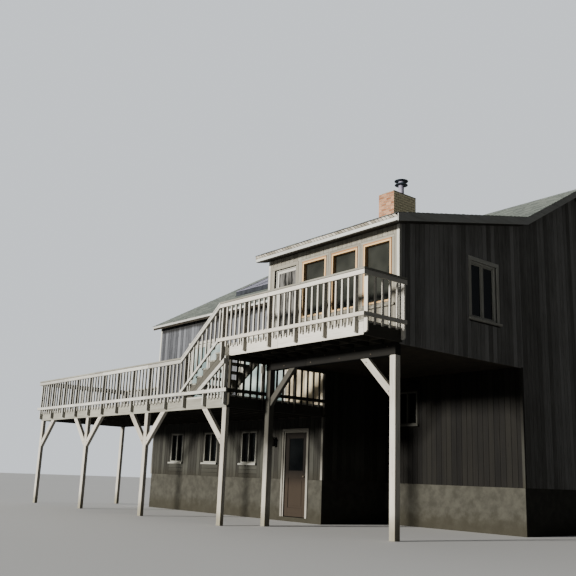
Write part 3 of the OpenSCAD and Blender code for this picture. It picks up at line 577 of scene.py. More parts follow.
for name, seed, finish, slot, corners in (
        ("corner_boards", 21, "paleTrim", "painted_wood",
         ((midX, tallY, -1, -1, tallFoot, edge["tall"]), (endX, tallY, 1, -1, tallFoot, edge["tall"]),
          (leftX, frontY, -1, -1, mainFoot, edge["main"]))),
        ("grey_corner_boards", 22, "lowSiding", "siding",
         ((leftX, backY, -1, 1, wallFoot, edge["main"]), (endX, backY, 1, 1, wallFoot, edge["main"]),
          (endX, rightY, 1, -1, wallFoot, hungHead))),
        ("lower_corner_boards", 23, "doorTrim", "siding",
         ((leftX, frontY, -1, -1, wallFoot, lowHead), (midX, frontY, 1, -1, wallFoot, lowHead)))):
    edging = Joinery(name, seed)
    for place in corners:
        cornerBoards(edging, *place)
    edging.make(finish)

# Window frames, sashes and casings


def beside(joinery, hole, inner, outer, out, low, high):  # upright boards left and right of an opening
    for a, b in sides(hole[0], hole[1], inner, outer):
        joinery.plank(a, b, -out, -hair, low, high, 2)


def across(joinery, hole, past, out, low, high):  # a level board that runs past both its sides
    joinery.plank(hole[0] - past, hole[1] + past, -out, -hair, low, high)


def casing(joinery, wall, hole, width=caseWidth, thick=0.024, sill=0.045, foot=None, lap=0.006):
    bottom, top = hole[2:]
    joinery.place = wall.matrix
    beside(joinery, hole, -lap, width, thick, bottom if foot is None else foot, top - lap)
    across(joinery, hole, width, thick, top - lap, top + width)
    if sill:
        across(joinery, hole, width + 0.03, thick + sill, bottom - 0.042, bottom)


def windowFrame(joinery, wall, hole, bars, bar=0.045, sash=0.034, near=0.02, far=0.11):
    start, end, bottom, top = hole
    joinery.place = wall.matrix
    joinery.ring(start + hair, end - hair, near, far, bottom + hair, top - hair, bar - hair)
    middles = [start + (end - start) / (bars + 1) * (k + 1) for k in range(bars)]
    for x in middles:
        joinery.plank(x - bar / 2, x + bar / 2, near, far, bottom + bar, top - bar, 2)
    places = [start + bar / 2] + middles + [end - bar / 2]
    for k in range(bars + 1 if sash else 0):  # every other sash slides behind
        joinery.ring(places[k] + bar / 2, places[k + 1] - bar / 2, near + 0.018 + 0.006 * (k % 2), far - 0.02,
                     bottom + bar, top - bar, sash)


lowCase = {"width": 0.055, "bar": 0.038, "near": -0.012, "sill": 0.045, "out": 0.065}
lowWood = Joinery("lower_windows", 31)
lowCases = Joinery("lower_casings", 38)
for block in lowFrames:
    wall = wallOf(block)
    hole = wall.hole(block)
    windowFrame(lowWood, wall, hole, 1, lowCase["bar"], 0, lowCase["near"])
    across(lowWood, hole, lowCase["width"], lowCase["out"], hole[2] - lowCase["sill"], hole[2])
    casing(lowCases, wall, hole, lowCase["width"], 0.020, 0, hole[2] + hair, -hair)
lowWood.make("dullTrim", instead=["lower_window_frames"])
lowCases.make("lowSiding")

sideWood = Joinery("side_windows", 32)
for block in sideFrames:
    windowFrame(sideWood, wallOf(block), wallOf(block).hole(block), 1)
    casing(sideWood, wallOf(block), wallOf(block).hole(block))
sideWood.make("paleTrim", instead=["side_window_frames"])

pull = {"aside": 0.05, "half": 0.012, "near": 0.005, "far": 0.03, "low": 0.95, "high": 1.15}
slideWood = Joinery("sliding_doors", 33)
for block in sliders:
    windowFrame(slideWood, front, front.hole(block), 1, sash=0.05)
    casing(slideWood, front, front.hole(block), sill=0, foot=mainFoot)
    for x in (block.x - pull["aside"], block.x + pull["aside"]):  # a pull on each meeting stile
        slideWood.plank(x - pull["half"], x + pull["half"], pull["near"], pull["far"],
                        mainZ + pull["low"], mainZ + pull["high"], 2)
slideWood.make("paleTrim", instead=["sliding_door_frames"])

tallWood = Joinery("tall_windows", 34)
for block in tallFrames[1:]:
    windowFrame(tallWood, tallFront, tallFront.hole(block), 0, 0.04, 0, -0.03)
tallWood.make("creamFrame", instead=["tall_window_frames"])
doorWood = Joinery("balcony_door", 35)
windowFrame(doorWood, tallFront, tallFront.hole(tallFrames[0]), 0, 0.03, 0.06, 0.03)
doorWood.make("paleTrim")
doorGlass, *tallGlass = solidsOf("tall_window_glass")
for name, finish, blocks, nodes in (("balcony_door_pane", "doorPane", [doorGlass], ()),
                                    ("tall_panes", "tallPane", tallGlass, ["tall_window_glass"])):
    panes = Joinery(name, 45)
    for block in blocks:
        panes.block(block)
    panes.make(finish, 0, instead=nodes)

tallCase = {"out": 0.022, "tan": 0.012, "below": 0.05, "sill": 0.095, "sillOut": 0.06, "past": 0.10}
trims = Joinery("tall_casings", 36)
tans = Joinery("tall_headers", 37)
casing(trims, tallFront, tallFront.hole(tallFrames[0]), foot=tallFoot, sill=0)
trims.place = tans.place = tallFront.matrix
for hole in [tallFront.hole(block) for block in tallFrames[1:]]:
    bottom, top = hole[2:]
    inner, low = tallCase["tan"], bottom - tallCase["below"]
    beside(trims, hole, inner + hair, caseWidth, tallCase["out"], low, top + 0.0195)
    across(trims, hole, tallCase["past"], tallCase["sillOut"], bottom - tallCase["sill"], low - 0.001)
    across(trims, hole, inner - hair, tallCase["out"], low, bottom - 0.001)
    across(trims, hole, caseWidth, 0.020, top + 0.0205, top + 0.072)
    across(tans, hole, inner, 0.036, top + hair, top + 0.020)
    beside(tans, hole, hair, inner, 0.033, bottom, top)
trims.make("tallSiding")
tans.make("tanFrame", fineEdge)

# Basement doorway and its leaf

jambs = Joinery("doorway", 41)
doorSpan = front.hole(doorWay)
doorX0, doorX1, doorTop = doorSpan[0], doorSpan[1], doorSpan[3]
jamb, jambY = 0.045, frontY + 0.12
for a, b in sides(doorX0, doorX1, -jamb, -hair):
    jambs.plank(a, b, frontY, jambY, slab.z1, doorTop - hair, 2)
jambs.plank(doorX0 + jamb, doorX1 - jamb, frontY, jambY, doorTop - jamb, doorTop - hair)
casing(jambs, front, doorSpan, 0.055, sill=0, foot=slab.z1)
jambs.make("doorTrim", instead=["door_frame"])

leaf = {"low": slab.z1 + 0.015, "high": doorTop - 0.053, "stile": 0.115, "foot": 0.2, "kick": 1.168,
        "rail": 0.16, "bead": 0.014, "beadIn": 0.004}
leafX0, leafX1 = doorX0 + 0.053, doorX1 - 0.053
y0, y1 = frontY + 0.03, frontY + 0.075
inX0, inX1 = leafX0 + leaf["stile"], leafX1 - leaf["stile"]
panelLow, panelHigh = leaf["low"] + leaf["foot"], leaf["kick"] - leaf["rail"]
glassLow, glassHigh, bead = leaf["kick"], leaf["high"] - leaf["stile"], leaf["bead"]
door = Joinery("basement_door_leaf", 42)
for a, b in sides(leafX0, leafX1, -leaf["stile"], 0):
    door.plank(a, b, y0, y1, leaf["low"], leaf["high"], 2)
for bottom, top in ((glassHigh, leaf["high"]), (panelHigh, glassLow), (leaf["low"], panelLow)):
    door.plank(inX0, inX1, y0, y1, bottom, top)
for side, depth in ((0, 0.014), (0.05, 0.006)):  # the panel and its raised field
    door.plank(inX0 + side, inX1 - side, y0 + depth, y1 - depth, panelLow + side, panelHigh - side, 2)
for a, b, bottom, top, along in ((inX0, inX1, glassLow, glassLow + bead, 0),
                                 (inX0, inX1, glassHigh - bead, glassHigh, 0),
                                 (inX0, inX0 + bead, glassLow + bead, glassHigh - bead, 2),
                                 (inX1 - bead, inX1, glassLow + bead, glassHigh - bead, 2)):
    door.plank(a, b, y0 + leaf["beadIn"], y1 - leaf["beadIn"], bottom, top, along)
door.make("doorTimber", body="door", instead=["basement_door"])

# Radius and distance from the leaf, from the outer end of a knob to its rose
knob = [(0.012, 0.05), (0.020, 0.045), (0.022, 0.034), (0.019, 0.022), (0.009, 0.016), (0.009, 0.006),
        (0.0215, 0.005), (0.0215, hair)]
hinge = [(0.0035, 0), (0.005, 0.003), (0.005, 0.097), (0.0035, 0.1)]
brass = Joinery("door_knob", 43)
knobAt = (leafX1 - 0.06, 0, 1.05)
brass.turned([(radius, y0 - out) for radius, out in knob], knobAt, axis=1)
brass.turned([(radius, y1 + out) for radius, out in knob[::-1]], knobAt, axis=1)
for z in (leaf["low"] + 0.2, (leaf["low"] + leaf["high"]) / 2, leaf["high"] - 0.3):
    brass.turned([(radius, z + up) for radius, up in hinge], (leafX0, y1, 0), 20)
brass.make("boltMetal", 0, "door")

# Posts, braces and the beam under the tall part

knee = {"half": 0.098, "reach": 0.76, "post": 0.07, "low": (0.12, -0.66), "high": (0.70, -0.08), "in": 0.0255}
bolt = [(0.0091, -0.008), (0.013, -0.0048), (0.013, 0)]
bolts = Joinery("post_bolts", 52)


def brace(joinery, x, side, y0, y1, top):  # a slanted brace from a post to the frame above, and its two bolts
    reach, inner, post = knee["reach"] + knee["half"], knee["reach"] - knee["half"], knee["post"]
    joinery.place = Matrix.Translation((x, 0, top)) @ Matrix.Rotation(side * math.radians(-45), 4, "Y")
    turn = joinery.place.inverted()
    outline = [(side * inner, 0), (side * reach, 0), (side * post, post - reach), (side * post, post - inner)]
    flat = [turn @ Vector((x + a, 0, top + b)) for a, b in outline]
    joinery.prism([(p.x, p.z) for p in flat], 1, y0, y1, 0)
    joinery.place = Matrix.Identity(4)
    for along, up in (knee["low"], knee["high"]):
        bolts.turned(bolt, (x + side * along, y0, top + up), 8, 1)


deckPosts = solidsOf("deck_posts")
posts = Joinery("deck_posts_wood", 51)
for block in deckPosts:
    posts.block(block, 2)
for number, block in enumerate([block for block in deckPosts if block.y0 < 0.5]):
    for side in [1] * (number < 3) + [-1] * (number > 0):
        brace(posts, block.x, side, block.y0, block.y1, joistZ)
posts.make("postTimber", bevel=0.005, instead=["deck_posts", "deck_braces"])

beam = blockOf("main_beam")
for block, (name, seed, finish, side, nodes) in zip(solidsOf("balcony_posts"), (
        ("balcony_post_left", 53, "shadedPostTimber", 1, ()),
        ("balcony_post_right", 55, "postTimber", -1, ["balcony_posts", "balcony_braces"]))):
    post = Joinery(name, seed)
    post.block(block, 2)
    brace(post, block.x, side, block.y0 + knee["in"], block.y1 - knee["in"], beam.z0)
    post.make(finish, bevel=0.006, instead=nodes)

beams = Joinery("tall_beam", 54)
ply = (beam.y1 - beam.y0) / 3
for k, share in enumerate((0.35, 0.62, 0.48)):  # three plies, each jointed at another place
    butt = beam.x0 + (beam.x1 - beam.x0) * share
    for a, b in ((beam.x0, butt - 0.002), (butt + 0.002, beam.x1)):
        beams.plank(a, b, beam.y0 + k * ply + hair, beam.y0 + (k + 1) * ply - hair, beam.z0, beam.z1)
for k in range(9):
    bolts.turned(bolt, (beam.x0 + 0.2 + k * 0.43, beam.y0, beam.z0 + (0.06 if k % 2 else 0.17)), 8, 1)
beams.make("gloomTimber", bevel=capEdge, instead=["main_beam"])
bolts.make("boltMetal", bevel=0)

# Deck boards and joists

joist = {"thick": 0.038, "pitch": 0.4065, "stagger": 0.05, "rim": 0.02, "fascia": 0.0195}


def deckBoards(joinery, block, seed, width=0.14, gap=0.006):
    dice = random.Random(seed)
    rows = round((block.y1 - block.y0 + gap) / (width + gap))
    pitch = (block.y1 - block.y0 + gap) / rows
    for row in range(rows):
        y0 = block.y0 + row * pitch
        x = block.x0
        while x < block.x1 - hair:
            length = joist["pitch"] * dice.choice((8, 9, 10, 11, 12))
            end = block.x1 if x + length > block.x1 - 1.2 else x + length
            joinery.plank(x + 0.001, end - 0.001, y0, y0 + pitch - gap, block.z0, block.z1)
            x = end


def joistFrame(joinery, block, count):
    thick, nearY, farX = joist["thick"], block.y0 + joist["rim"], block.x1 - joist["rim"]
    joinery.plank(block.x0, farX, nearY, nearY + thick, block.z0, block.z1)
    joinery.plank(block.x0, farX, block.y1 - thick, block.y1, block.z0, block.z1)
    pitch = (farX - block.x0 - thick) / count
    for k in range(count + 1):
        x = block.x0 + k * pitch
        joinery.plank(x, x + thick, nearY + thick, block.y1 - thick, block.z0, block.z1, 1)
    for k in range(count):  # blocking between the joists, staggered
        x = block.x0 + k * pitch + thick
        y = (nearY + block.y1) / 2 + (joist["stagger"] if k % 2 else -joist["stagger"])
        joinery.plank(x, x + pitch - thick, y, y + thick, block.z0 + 0.02, block.z1 - 0.002)


for name, seed, block, draw, node in (("lower_deck_planks", 61, deck, 5, "lower_deck_boards"),
                                      ("balcony_planks", 62, balcony, 6, "balcony_boards")):
    planks = Joinery(name, seed)
    deckBoards(planks, block, draw)
    planks.make("deckTimber", instead=[node])
for name, seed, block, count, node in (("lower_deck_joists", 63, lowJoists, 24, "lower_deck_frame"),
                                       ("balcony_joists", 64, tallJoists, 10, "balcony_frame")):
    joists = Joinery(name, seed)
    joistFrame(joists, block, count)
    joists.make("joistTimber", bevel=fineEdge, instead=[node])
for name, seed, finish, block, cuts in (("deck_fascias", 65, "capTimber", lowJoists, [3.27, 6.54]),
                                        ("balcony_fascia", 66, "rimTimber", tallJoists, [11.42])):
    rims = Joinery(name, seed)
    rims.lengths([block.x0, *cuts, block.x1], 0.0, joist["fascia"], block.z0, block.z1)
    rims.make(finish)
rims = Joinery("deck_end_boards", 67)
rims.place = Wall(90, 0).matrix
for block, end in ((lowJoists, deck.y1), (tallJoists, balcony.y1)):
    rims.lengths([joist["rim"], end], -block.x1, -block.x1 + joist["fascia"], block.z0, block.z1)
rims.make("shadedTimber")

# Railings, drawn from x = 0 with the outside towards -y and the deck at z = 0

bay = (deck.x1 - deck.x0) / 12
rail = {"height": 0.928, "cap": 0.038, "post": 0.038, "postOut": 0.089, "drop": 0.235, "inside": 0.010,
        "board": 0.09, "foot": 0.044, "footBoard": 0.074, "baluster": 0.038, "hang": 0.08, "capOut": 0.13,
        "shift": 0.017, "lap": 0.01, "seam": 0.007, "back": 0.024, "stairDrop": 0.39}
postY, capY, capEnd = -rail["postOut"], -rail["capOut"], rail["inside"]
balusterY, boardY = postY + rail["baluster"], postY - rail["cap"]
railTop, footTop = rail["height"] - rail["cap"], rail["foot"] + rail["footBoard"]
postHalf, balusterHalf = rail["post"] / 2, rail["baluster"] / 2
railHead = (railTop - rail["board"], railTop - rail["seam"])


def railAt(x, y, z, turn):
    return Matrix.Translation((x, y, z)) @ Matrix.Rotation(math.radians(turn), 4, "Z")


def railPost(joinery, x, bottom, top):
    outline = [(postY, bottom + 0.03), (-0.05, bottom), (0, bottom), (0, top), (postY, top)]
    joinery.prism(outline, 0, x - postHalf, x + postHalf, 2)


def baluster(joinery, x, top):
    low = -rail["hang"]
    outline = [(postY, low + 0.02), (postY + 0.012, low), (balusterY, low), (balusterY, top), (postY, top)]
    joinery.prism(outline, 0, x - balusterHalf, x + balusterHalf, 2)


def balusters(joinery, places, top=railTop):  # four between each two posts
    for a, b in zip(places[:-1], places[1:]):
        for k in range(1, 5):
            baluster(joinery, a + (b - a) * k / 5, top)


def railRun(place, posts, boards, capping=(), top=railTop, seam=rail["seam"], drop=rail["drop"]):
    rails.place = caps.place = place
    for number, x in enumerate(posts):
        railPost(rails, x, -rail["drop"] if number else -drop, top)
    balusters(rails, posts, top)
    for z0, z1 in ((rail["foot"], footTop), (top - rail["board"], top - seam)):
        rails.lengths(boards, boardY, postY, z0, z1)
    caps.lengths(capping, capY, capEnd, railTop, rail["height"])


stair = {"steps": 7, "going": 0.244, "low": 0.378, "wide": 0.956, "timber": 0.038, "slant": 0.597,
         "slantHigh": 0.111, "railEnd": 0.276, "railRun": 1.464}
rise = tallZ - mainZ
riser = rise / stair["steps"]
slope = riser / stair["going"]
stairX = deck.x1 - stair["steps"] * stair["going"]
stairRailX1 = deck.x1 - stair["railEnd"]
stairRailX0 = stairRailX1 - stair["railRun"]
railSlope = rise / stair["railRun"]
stairFootX, stairPostX = 10 * bay + rail["shift"], 11 * bay + rail["shift"]


def stairLine(x):
    return mainZ + railSlope * (x - stairRailX0)


def slantFoot(x):  # underside of the slanted board beside the stair, above the deck
    return riser + slope * (x - stairX) - stair["slant"]


sideTop = tallJoistZ - mainZ - 0.002
rails = Joinery("lower_railing", 71)
caps = Joinery("lower_rail_caps", 72)
rails.place = caps.place = railAt(0, 0, mainZ, 0)
railPlaces = [postHalf] + [k * bay + rail["shift"] for k in range(1, 10)]
for x, top in [(x, railTop) for x in railPlaces] + [
        (stairFootX, footTop), (stairPostX, slantFoot(stairPostX) + 0.06), (deck.x1 - postHalf, sideTop)]:
    railPost(rails, x, -rail["drop"], top)
balusters(rails, railPlaces + [stairFootX])
for k in range(1, 6):  # short ones under the slanted board
    x = stairPostX + 0.125 * (k + 0.5) + balusterHalf
    baluster(rails, x, slantFoot(x) + 0.05)
joints = [k * bay + rail["shift"] for k in (2, 5, 8)]
rails.lengths([boardY, *joints, stairFootX, deck.x1 - boardY], boardY, postY, rail["foot"], footTop)
rails.lengths([boardY, *joints, stairRailX0], boardY, postY, *railHead)
slantX = stairX + (footTop + hair + stair["slant"] - riser) / slope
slantEnd = deck.x1 - 0.002
rails.prism([(slantX - stair["slantHigh"] / slope, footTop + hair), (slantX, footTop + hair),
             (slantEnd, slantFoot(deck.x1)), (slantEnd, slantFoot(deck.x1) + stair["slantHigh"])],
            1, boardY, postY, 0)
caps.lengths([capY, 1.6 * bay, 4.5 * bay, 7.4 * bay, stairRailX0], capY, capEnd, railTop, rail["height"])
sidePlaces = [postHalf + k * (deck.y1 - rail["post"]) / 3 for k in range(4)]
railRun(railAt(0, deck.y1, mainZ, -90), sidePlaces, [boardY, 1.4, deck.y1 - postY],
        [capY, 1.5, deck.y1 - capEnd])
railRun(railAt(leftX, deck.y1, mainZ, 180), [postHalf + 0.026, leftX / 2, leftX - postHalf],
        [rail["back"], leftX - postY], [rail["back"], leftX - capEnd])
rails.make("deckTimber", instead=["lower_rail_front", "lower_rail_left", "lower_rail_back"])
caps.make("capTimber", bevel=capEdge)
rails = Joinery("lower_side_railing", 78)
railRun(railAt(deck.x1, 0, mainZ, 90), sidePlaces, [postY, deck.y1], top=sideTop, seam=hair)
rails.make("shadedTimber", instead=["lower_rail_side"])

rails = Joinery("balcony_railing", 73)
caps = Joinery("balcony_rail_caps", 74)
railPlaces = [stairRailX1 + 0.08] + [stairRailX1 + 0.045 + 0.828 * k for k in range(1, 6)]
railRun(railAt(0, 0, tallZ, 0), railPlaces, [stairRailX1, railPlaces[2], balcony.x1 - boardY],
        [stairRailX1, railPlaces[3] + 0.2, balcony.x1 - capY], drop=rail["stairDrop"])
railRun(railAt(balcony.x1, 0, tallZ, 90), [postHalf, balcony.y1 - postHalf], [postY, balcony.y1],
        [capEnd, balcony.y1])
rails.make("rimTimber", instead=["balcony_rail_front", "balcony_rail_right"])
caps.make("capTimber", bevel=capEdge)

# The stair to the balcony

tread = {"nose": 0.02, "front": 0.118, "back": 0.124, "end": 0.004, "side": 0.012, "thick": 0.038}
steps = Joinery("stair_treads_wood", 75)
strings = Joinery("stair_stringers_wood", 76)
outline = [(stairX + (stair["low"] - riser) / slope, mainZ + hair), (stairX + hair, mainZ + hair)]
for k in range(stair["steps"]):
    x, end = stairX + k * stair["going"], stairX + (k + 1) * stair["going"]
    z = mainZ + (k + 1) * riser
    for a, b in ((x - tread["nose"], x + tread["front"]), (x + tread["back"], end - tread["end"])):
        steps.plank(a, b, -tread["side"], stair["wide"] + tread["side"], z - tread["thick"], z, 1)
    outline += [(x + hair, z - 0.039), (end - hair, z - 0.039)]
outline.append((deck.x1 - hair, tallZ + riser - stair["low"]))
steps.make("capTimber", instead=["stair_treads"])
strings.place = Matrix.Translation((stairX, 0, mainZ)) @ Matrix.Rotation(-math.atan(slope), 4, "Y")
flat = [strings.place.inverted() @ Vector((a, 0, b)) for a, b in outline]
for y0 in (0.0, stair["wide"] - stair["timber"]):
    strings.prism([(p.x, p.z) for p in flat], 1, y0, y0 + stair["timber"] - hair, 0)
strings.make("stringerTimber", bevel=capEdge, instead=["stair_stringers"])
slant = Joinery("stair_railing", 77)


def sloped(x0, x1, y0, y1, low, high, along=0):
    points = [(x0, stairLine(x0) + low), (x1, stairLine(x1) + low),
              (x1, stairLine(x1) + high), (x0, stairLine(x0) + high)]
    slant.prism(points, 1, y0, y1, along)


sloped(stairRailX0, stairRailX1, capY, capEnd, railTop, rail["height"])
sloped(stairRailX0, stairRailX1, boardY, postY, *railHead)
slant.prism([(stairRailX0, mainZ + footTop), (stairRailX0 + rail["footBoard"] / railSlope, mainZ + footTop),
             (stairRailX1, tallZ + rail["foot"]), (stairRailX1, tallZ + footTop)], 1, boardY, postY, 0)
for x in [stairFootX + k * bay / 5 for k in range(1, 9)]:
    sloped(x - balusterHalf, x + balusterHalf, postY, balusterY, rail["foot"] + rail["lap"],
           railTop - 0.002, 2)
slant.plank(stairFootX - postHalf, stairFootX + postHalf, postY, 0, mainZ + footTop,
            stairLine(stairFootX) + railTop - 0.03, 2)
slant.make("deckTimber", instead=["stair_rail"])

# Roof covering

tab = {"step": 0.143, "lap": 0.012, "least": 0.1, "width": (0.14, 0.36), "thick": (0.009, 0.015),
       "ragged": (-0.006, 0.006), "gap": 0.002, "thin": 0.003}
ridgeCap = {"count": 44, "half": 0.13, "low": 0.012, "high": 0.024, "lap": 0.012}


def shingleSlope(x0, x1, lowY, highY, roof, start=-0.04, backward=False, gaps=()):
    slant = math.atan(abs(roof.top(highY) - roof.top(lowY)) / abs(highY - lowY))
    length = abs(highY - lowY) / math.cos(slant)
    turn = Matrix.Rotation(math.pi, 4, "Z") if backward else Matrix.Identity(4)
    shingles.place = (Matrix.Translation((x1 if backward else x0, lowY, roof.top(lowY))) @ turn
                      @ Matrix.Rotation(slant, 4, "X"))
    s = start
    while s < length - 0.02:
        end = min(s + tab["step"] + tab["lap"], length + tab["lap"])
        free = [(0.0, x1 - x0)]
        for gapX0, gapX1, gapS0, gapS1 in gaps:
            if s < gapS1 and end > gapS0:
                free = [part for a, b in free for part in ((a, min(b, gapX0)), (max(a, gapX1), b))]
                free = [(a, b) for a, b in free if b - a > 0.01]
        for a, b in free:
            x = a
            while x < b - 0.001:
                width = shingles.dice.uniform(*tab["width"])
                stop = b if x + width > b - tab["least"] else x + width
                thick = shingles.dice.uniform(*tab["thick"])
                ragged = shingles.dice.uniform(*tab["ragged"])
                outline = [(s + ragged, hair), (s + ragged, thick), (end, tab["thin"]), (end, hair)]
                shingles.prism(outline, 0, x + tab["gap"], stop - tab["gap"])
                x = stop
        s += tab["step"]


def shingleGap(block, margin):  # what a block leaves free, along the eave and up the slope
    stretch = math.sqrt(1 + mainRoof.slope ** 2)
    return (block.x0 - roofX0 - margin, block.x1 - roofX0 + margin,
            (block.y0 - margin - eave) * stretch, (block.y1 + margin - eave) * stretch)


sky = blockOf("roof_skylight")
shingles = Joinery("roof_shingles_left", 81)
shingleSlope(roofX0, midX, eave, ridgeY, mainRoof, gaps=[shingleGap(stack, 0.03), shingleGap(sky, 0.01)])
shingles.make("roofShingle", 0)
shingles = Joinery("roof_shingles_right", 82)
shingleSlope(midX, roofX1, meetY, ridgeY, mainRoof, 0.0)
shingleSlope(tallX0, roofX1, tallEave, meetY, tallRoof)
shingles.make("roofShingle", 0)
shingles = Joinery("roof_shingles_back", 83)
shingleSlope(roofX0, roofX1, backEaveY, ridgeY, mainRoof, -0.012, True)
shingles.place = Matrix.Identity(4)
y0, y1, drop = ridgeY - ridgeCap["half"], ridgeY + ridgeCap["half"], ridgeCap["half"] * mainRoof.slope
z0, z1 = mainRoof.top(ridgeY) + ridgeCap["low"], mainRoof.top(ridgeY) + ridgeCap["high"]
pitch = (roofX1 - roofX0) / ridgeCap["count"]
for k in range(ridgeCap["count"]):
    x = roofX0 + k * pitch
    outline = [(y0, z0 - drop), (ridgeY, z0), (y1, z0 - drop), (y1, z1 - drop), (ridgeY, z1), (y0, z1 - drop)]
    shingles.prism(outline, 0, x, min(x + pitch + ridgeCap["lap"], roofX1))
shingles.make("roofShingle", 0)

# Boards along the roof edges

verge = {"thick": 0.024, "drop": 0.025, "eaveDrop": 0.012, "down": 0.002, "in": 0.026, "past": 0.02}
eaves = Joinery("eave_boards", 84)
tallEaveZ, tallFaceY, faceX = tallRoof.under(tallEave), tallEave - verge["thick"], tallX0 - verge["past"]
eaves.lengths([roofX0, 4.9, tallX0 - 0.002], eave - verge["thick"], eave, 5.463, 5.530, hair)
eaves.lengths([tallX0, 12.3, roofX1 - verge["in"]], tallFaceY, tallEave, tallEaveZ + 0.001,
              tallEaveZ + 0.070, hair)
eaves.lengths([roofX0, 5.0, 9.6, roofX1], backEaveY, backEaveY + 0.022, 5.432, 5.532, hair)
ridgeFoot, ridgeHead = mainRoof.under(ridgeY) - verge["drop"], mainRoof.top(ridgeY) - verge["down"]
backFoot, backHead = mainRoof.under(backEaveY), mainRoof.top(backEaveY) - verge["down"]
for x0, x1, parts in (
        (roofX0, roofX0 + 0.024, ((eave, mainRoof, 0), (ridgeY, mainRoof, verge["drop"]))),
        (roofX1 - 0.024, roofX1 - 0.002,
         ((tallFaceY, tallRoof, verge["eaveDrop"]), (meetY, tallRoof, verge["drop"]),
          (ridgeY, mainRoof, verge["drop"])))):
    lows = [(y, roof.under(y) - drop) for y, roof, drop in parts]
    highs = [(y, roof.top(y) - verge["down"]) for y, roof, drop in parts]
    eaves.prism(lows + highs[::-1], 0, x0, x1, 1)
    eaves.prism([(ridgeY + hair, ridgeFoot), (backEaveY, backFoot), (backEaveY, backHead),
                 (ridgeY + hair, ridgeHead)], 0, x0, x1, 1)
joinY = (tallRoof.under(0) - mainRoof.top(0) - 0.02) / (mainRoof.slope - tallRoof.slope)
endY = meetY - 0.06
eaves.prism([(tallFaceY, tallRoof.under(tallFaceY)), (joinY, tallRoof.under(joinY)),
             (endY, tallRoof.top(endY) - 0.004), (tallFaceY, tallRoof.top(tallFaceY) - 0.004)],
            0, faceX, tallX0 - hair, 1)
eaves.make("fasciaPaint", instead=["roof_fascias"])

shake = {"pitch": 0.092, "gap": 0.014, "lean": 0.075, "low": 0.071, "head": 0.016, "out": 0.030}
shakes = Joinery("shake_ends", 85)
count = int((roofX1 - faceX) / shake["pitch"])
pitch = (roofX1 - faceX) / count
z0, z1 = tallEaveZ + shake["low"], tallRoof.eaveZ - shake["head"]
for k in range(count):  # split ends over the tall roof's front board, each cut at a slant
    x = faceX + k * pitch
    lean = shake["lean"] if k else 0.0
    near = tallEave - shake["out"] - shakes.dice.uniform(0, 0.006)
    end = min(x + pitch - shake["gap"], roofX1 - 0.002)
    shakes.prism([(x, z0), (end, z0), (end - lean, z1), (x - lean, z1)], 1, near, tallEave - 0.002, 1)
shakes.make("shakeEnd", fineEdge)
# A dark strip at the top of the tall eave: a drip edge, darkened as painted shade beneath the shingle edge
drip = Joinery("roof_drip_edge", 87)
drip.plank(faceX, roofX1 - 0.002, tallEave - 0.042, tallEave + 0.02, tallRoof.eaveZ - 0.0155,
           tallRoof.eaveZ - 0.001)
drip.make("darkBand", fineEdge)

soffit = {"tall": 0.012, "main": 0.010, "board": 0.15, "joint": 0.003, "wall": 0.02}
sideX0, sideX1 = roofX0 + verge["in"], roofX1 - verge["in"]
soffits = Joinery("soffit_boards", 86)
for a in (tallEave + soffit["joint"], tallEave + soffit["joint"] + soffit["board"]):
    b = a + soffit["board"] - 2 * soffit["joint"]
    soffits.prism(tallRoof.lining(a, b, soffit["tall"]), 0, tallX0, sideX1)
for a, b, end in ((eave + soffit["joint"], frontY - soffit["wall"], midX),
                  (backY + soffit["wall"], backEaveY - soffit["joint"], sideX1)):
    soffits.prism(mainRoof.lining(a, b, soffit["main"]), 0, sideX0, end)
for x0, x1, places in ((sideX0, leftX - soffit["wall"], [frontY, ridgeY, backY]),
                       (endX + soffit["wall"], sideX1, [tallEave + 0.31, meetY, ridgeY, backY])):
    for a, b in zip(places[:-1], places[1:]):
        roof = tallRoof if b <= meetY else mainRoof
        soffits.prism(roof.lining(a, b, soffit["main"]), 0, x0, x1, 1)
soffits.make("joistTimber", fineEdge)

# Skylight

light = {"kerb": 0.04, "frame": 0.07, "half": 0.03, "lights": 3, "cover": 0.0155, "pane": 0.030, "in": 0.041}
skyFrame = Joinery("skylight_frame", 91)
skyKerb = Joinery("skylight_kerb", 92)
skyGlass = Joinery("skylight_panes", 93)
skyTop = sky.z1 - mainRoof.top(sky.y1)
kerb, cover, bar = light["kerb"], light["frame"], light["half"]
for a, b in sides(sky.y0, sky.y1, -kerb, 0):
    skyKerb.prism(mainRoof.slab(a, b, 0.003, skyTop - 0.016), 0, sky.x0, sky.x1)
for a, b in sides(sky.x0, sky.x1, -kerb, 0):
    skyKerb.prism(mainRoof.slab(sky.y0 + kerb, sky.y1 - kerb, 0.003, skyTop - 0.016), 0, a, b, 1)
for a, b in sides(sky.y0, sky.y1, -cover, 0):
    skyFrame.prism(mainRoof.slab(a, b, skyTop - light["cover"], skyTop), 0, sky.x0, sky.x1)
for k in range(light["lights"] + 1):
    x = sky.x0 + bar + k * (sky.x1 - sky.x0 - 2 * bar) / light["lights"]
    skyFrame.prism(mainRoof.slab(sky.y0 + cover, sky.y1 - cover, skyTop - light["cover"], skyTop),
                   0, x - bar, x + bar, 1)
inset = light["in"]
skyGlass.prism(mainRoof.slab(sky.y0 + inset, sky.y1 - inset, skyTop - light["pane"], skyTop - 0.016),
               0, sky.x0 + inset, sky.x1 - inset, 1)
skyKerb.make("darkBand")
skyFrame.make("sashMetal", capEdge)
skyGlass.make("skyPane", 0, instead=["roof_skylight"])

# Brick stack and flue

brick = {"course": 0.0735, "high": 0.062, "proud": 0.008, "bed": 0.095, "joint": 0.005, "below": 0.05}
bricks = Joinery("stack_bricks", 95)
proud, bed = brick["proud"], brick["bed"]


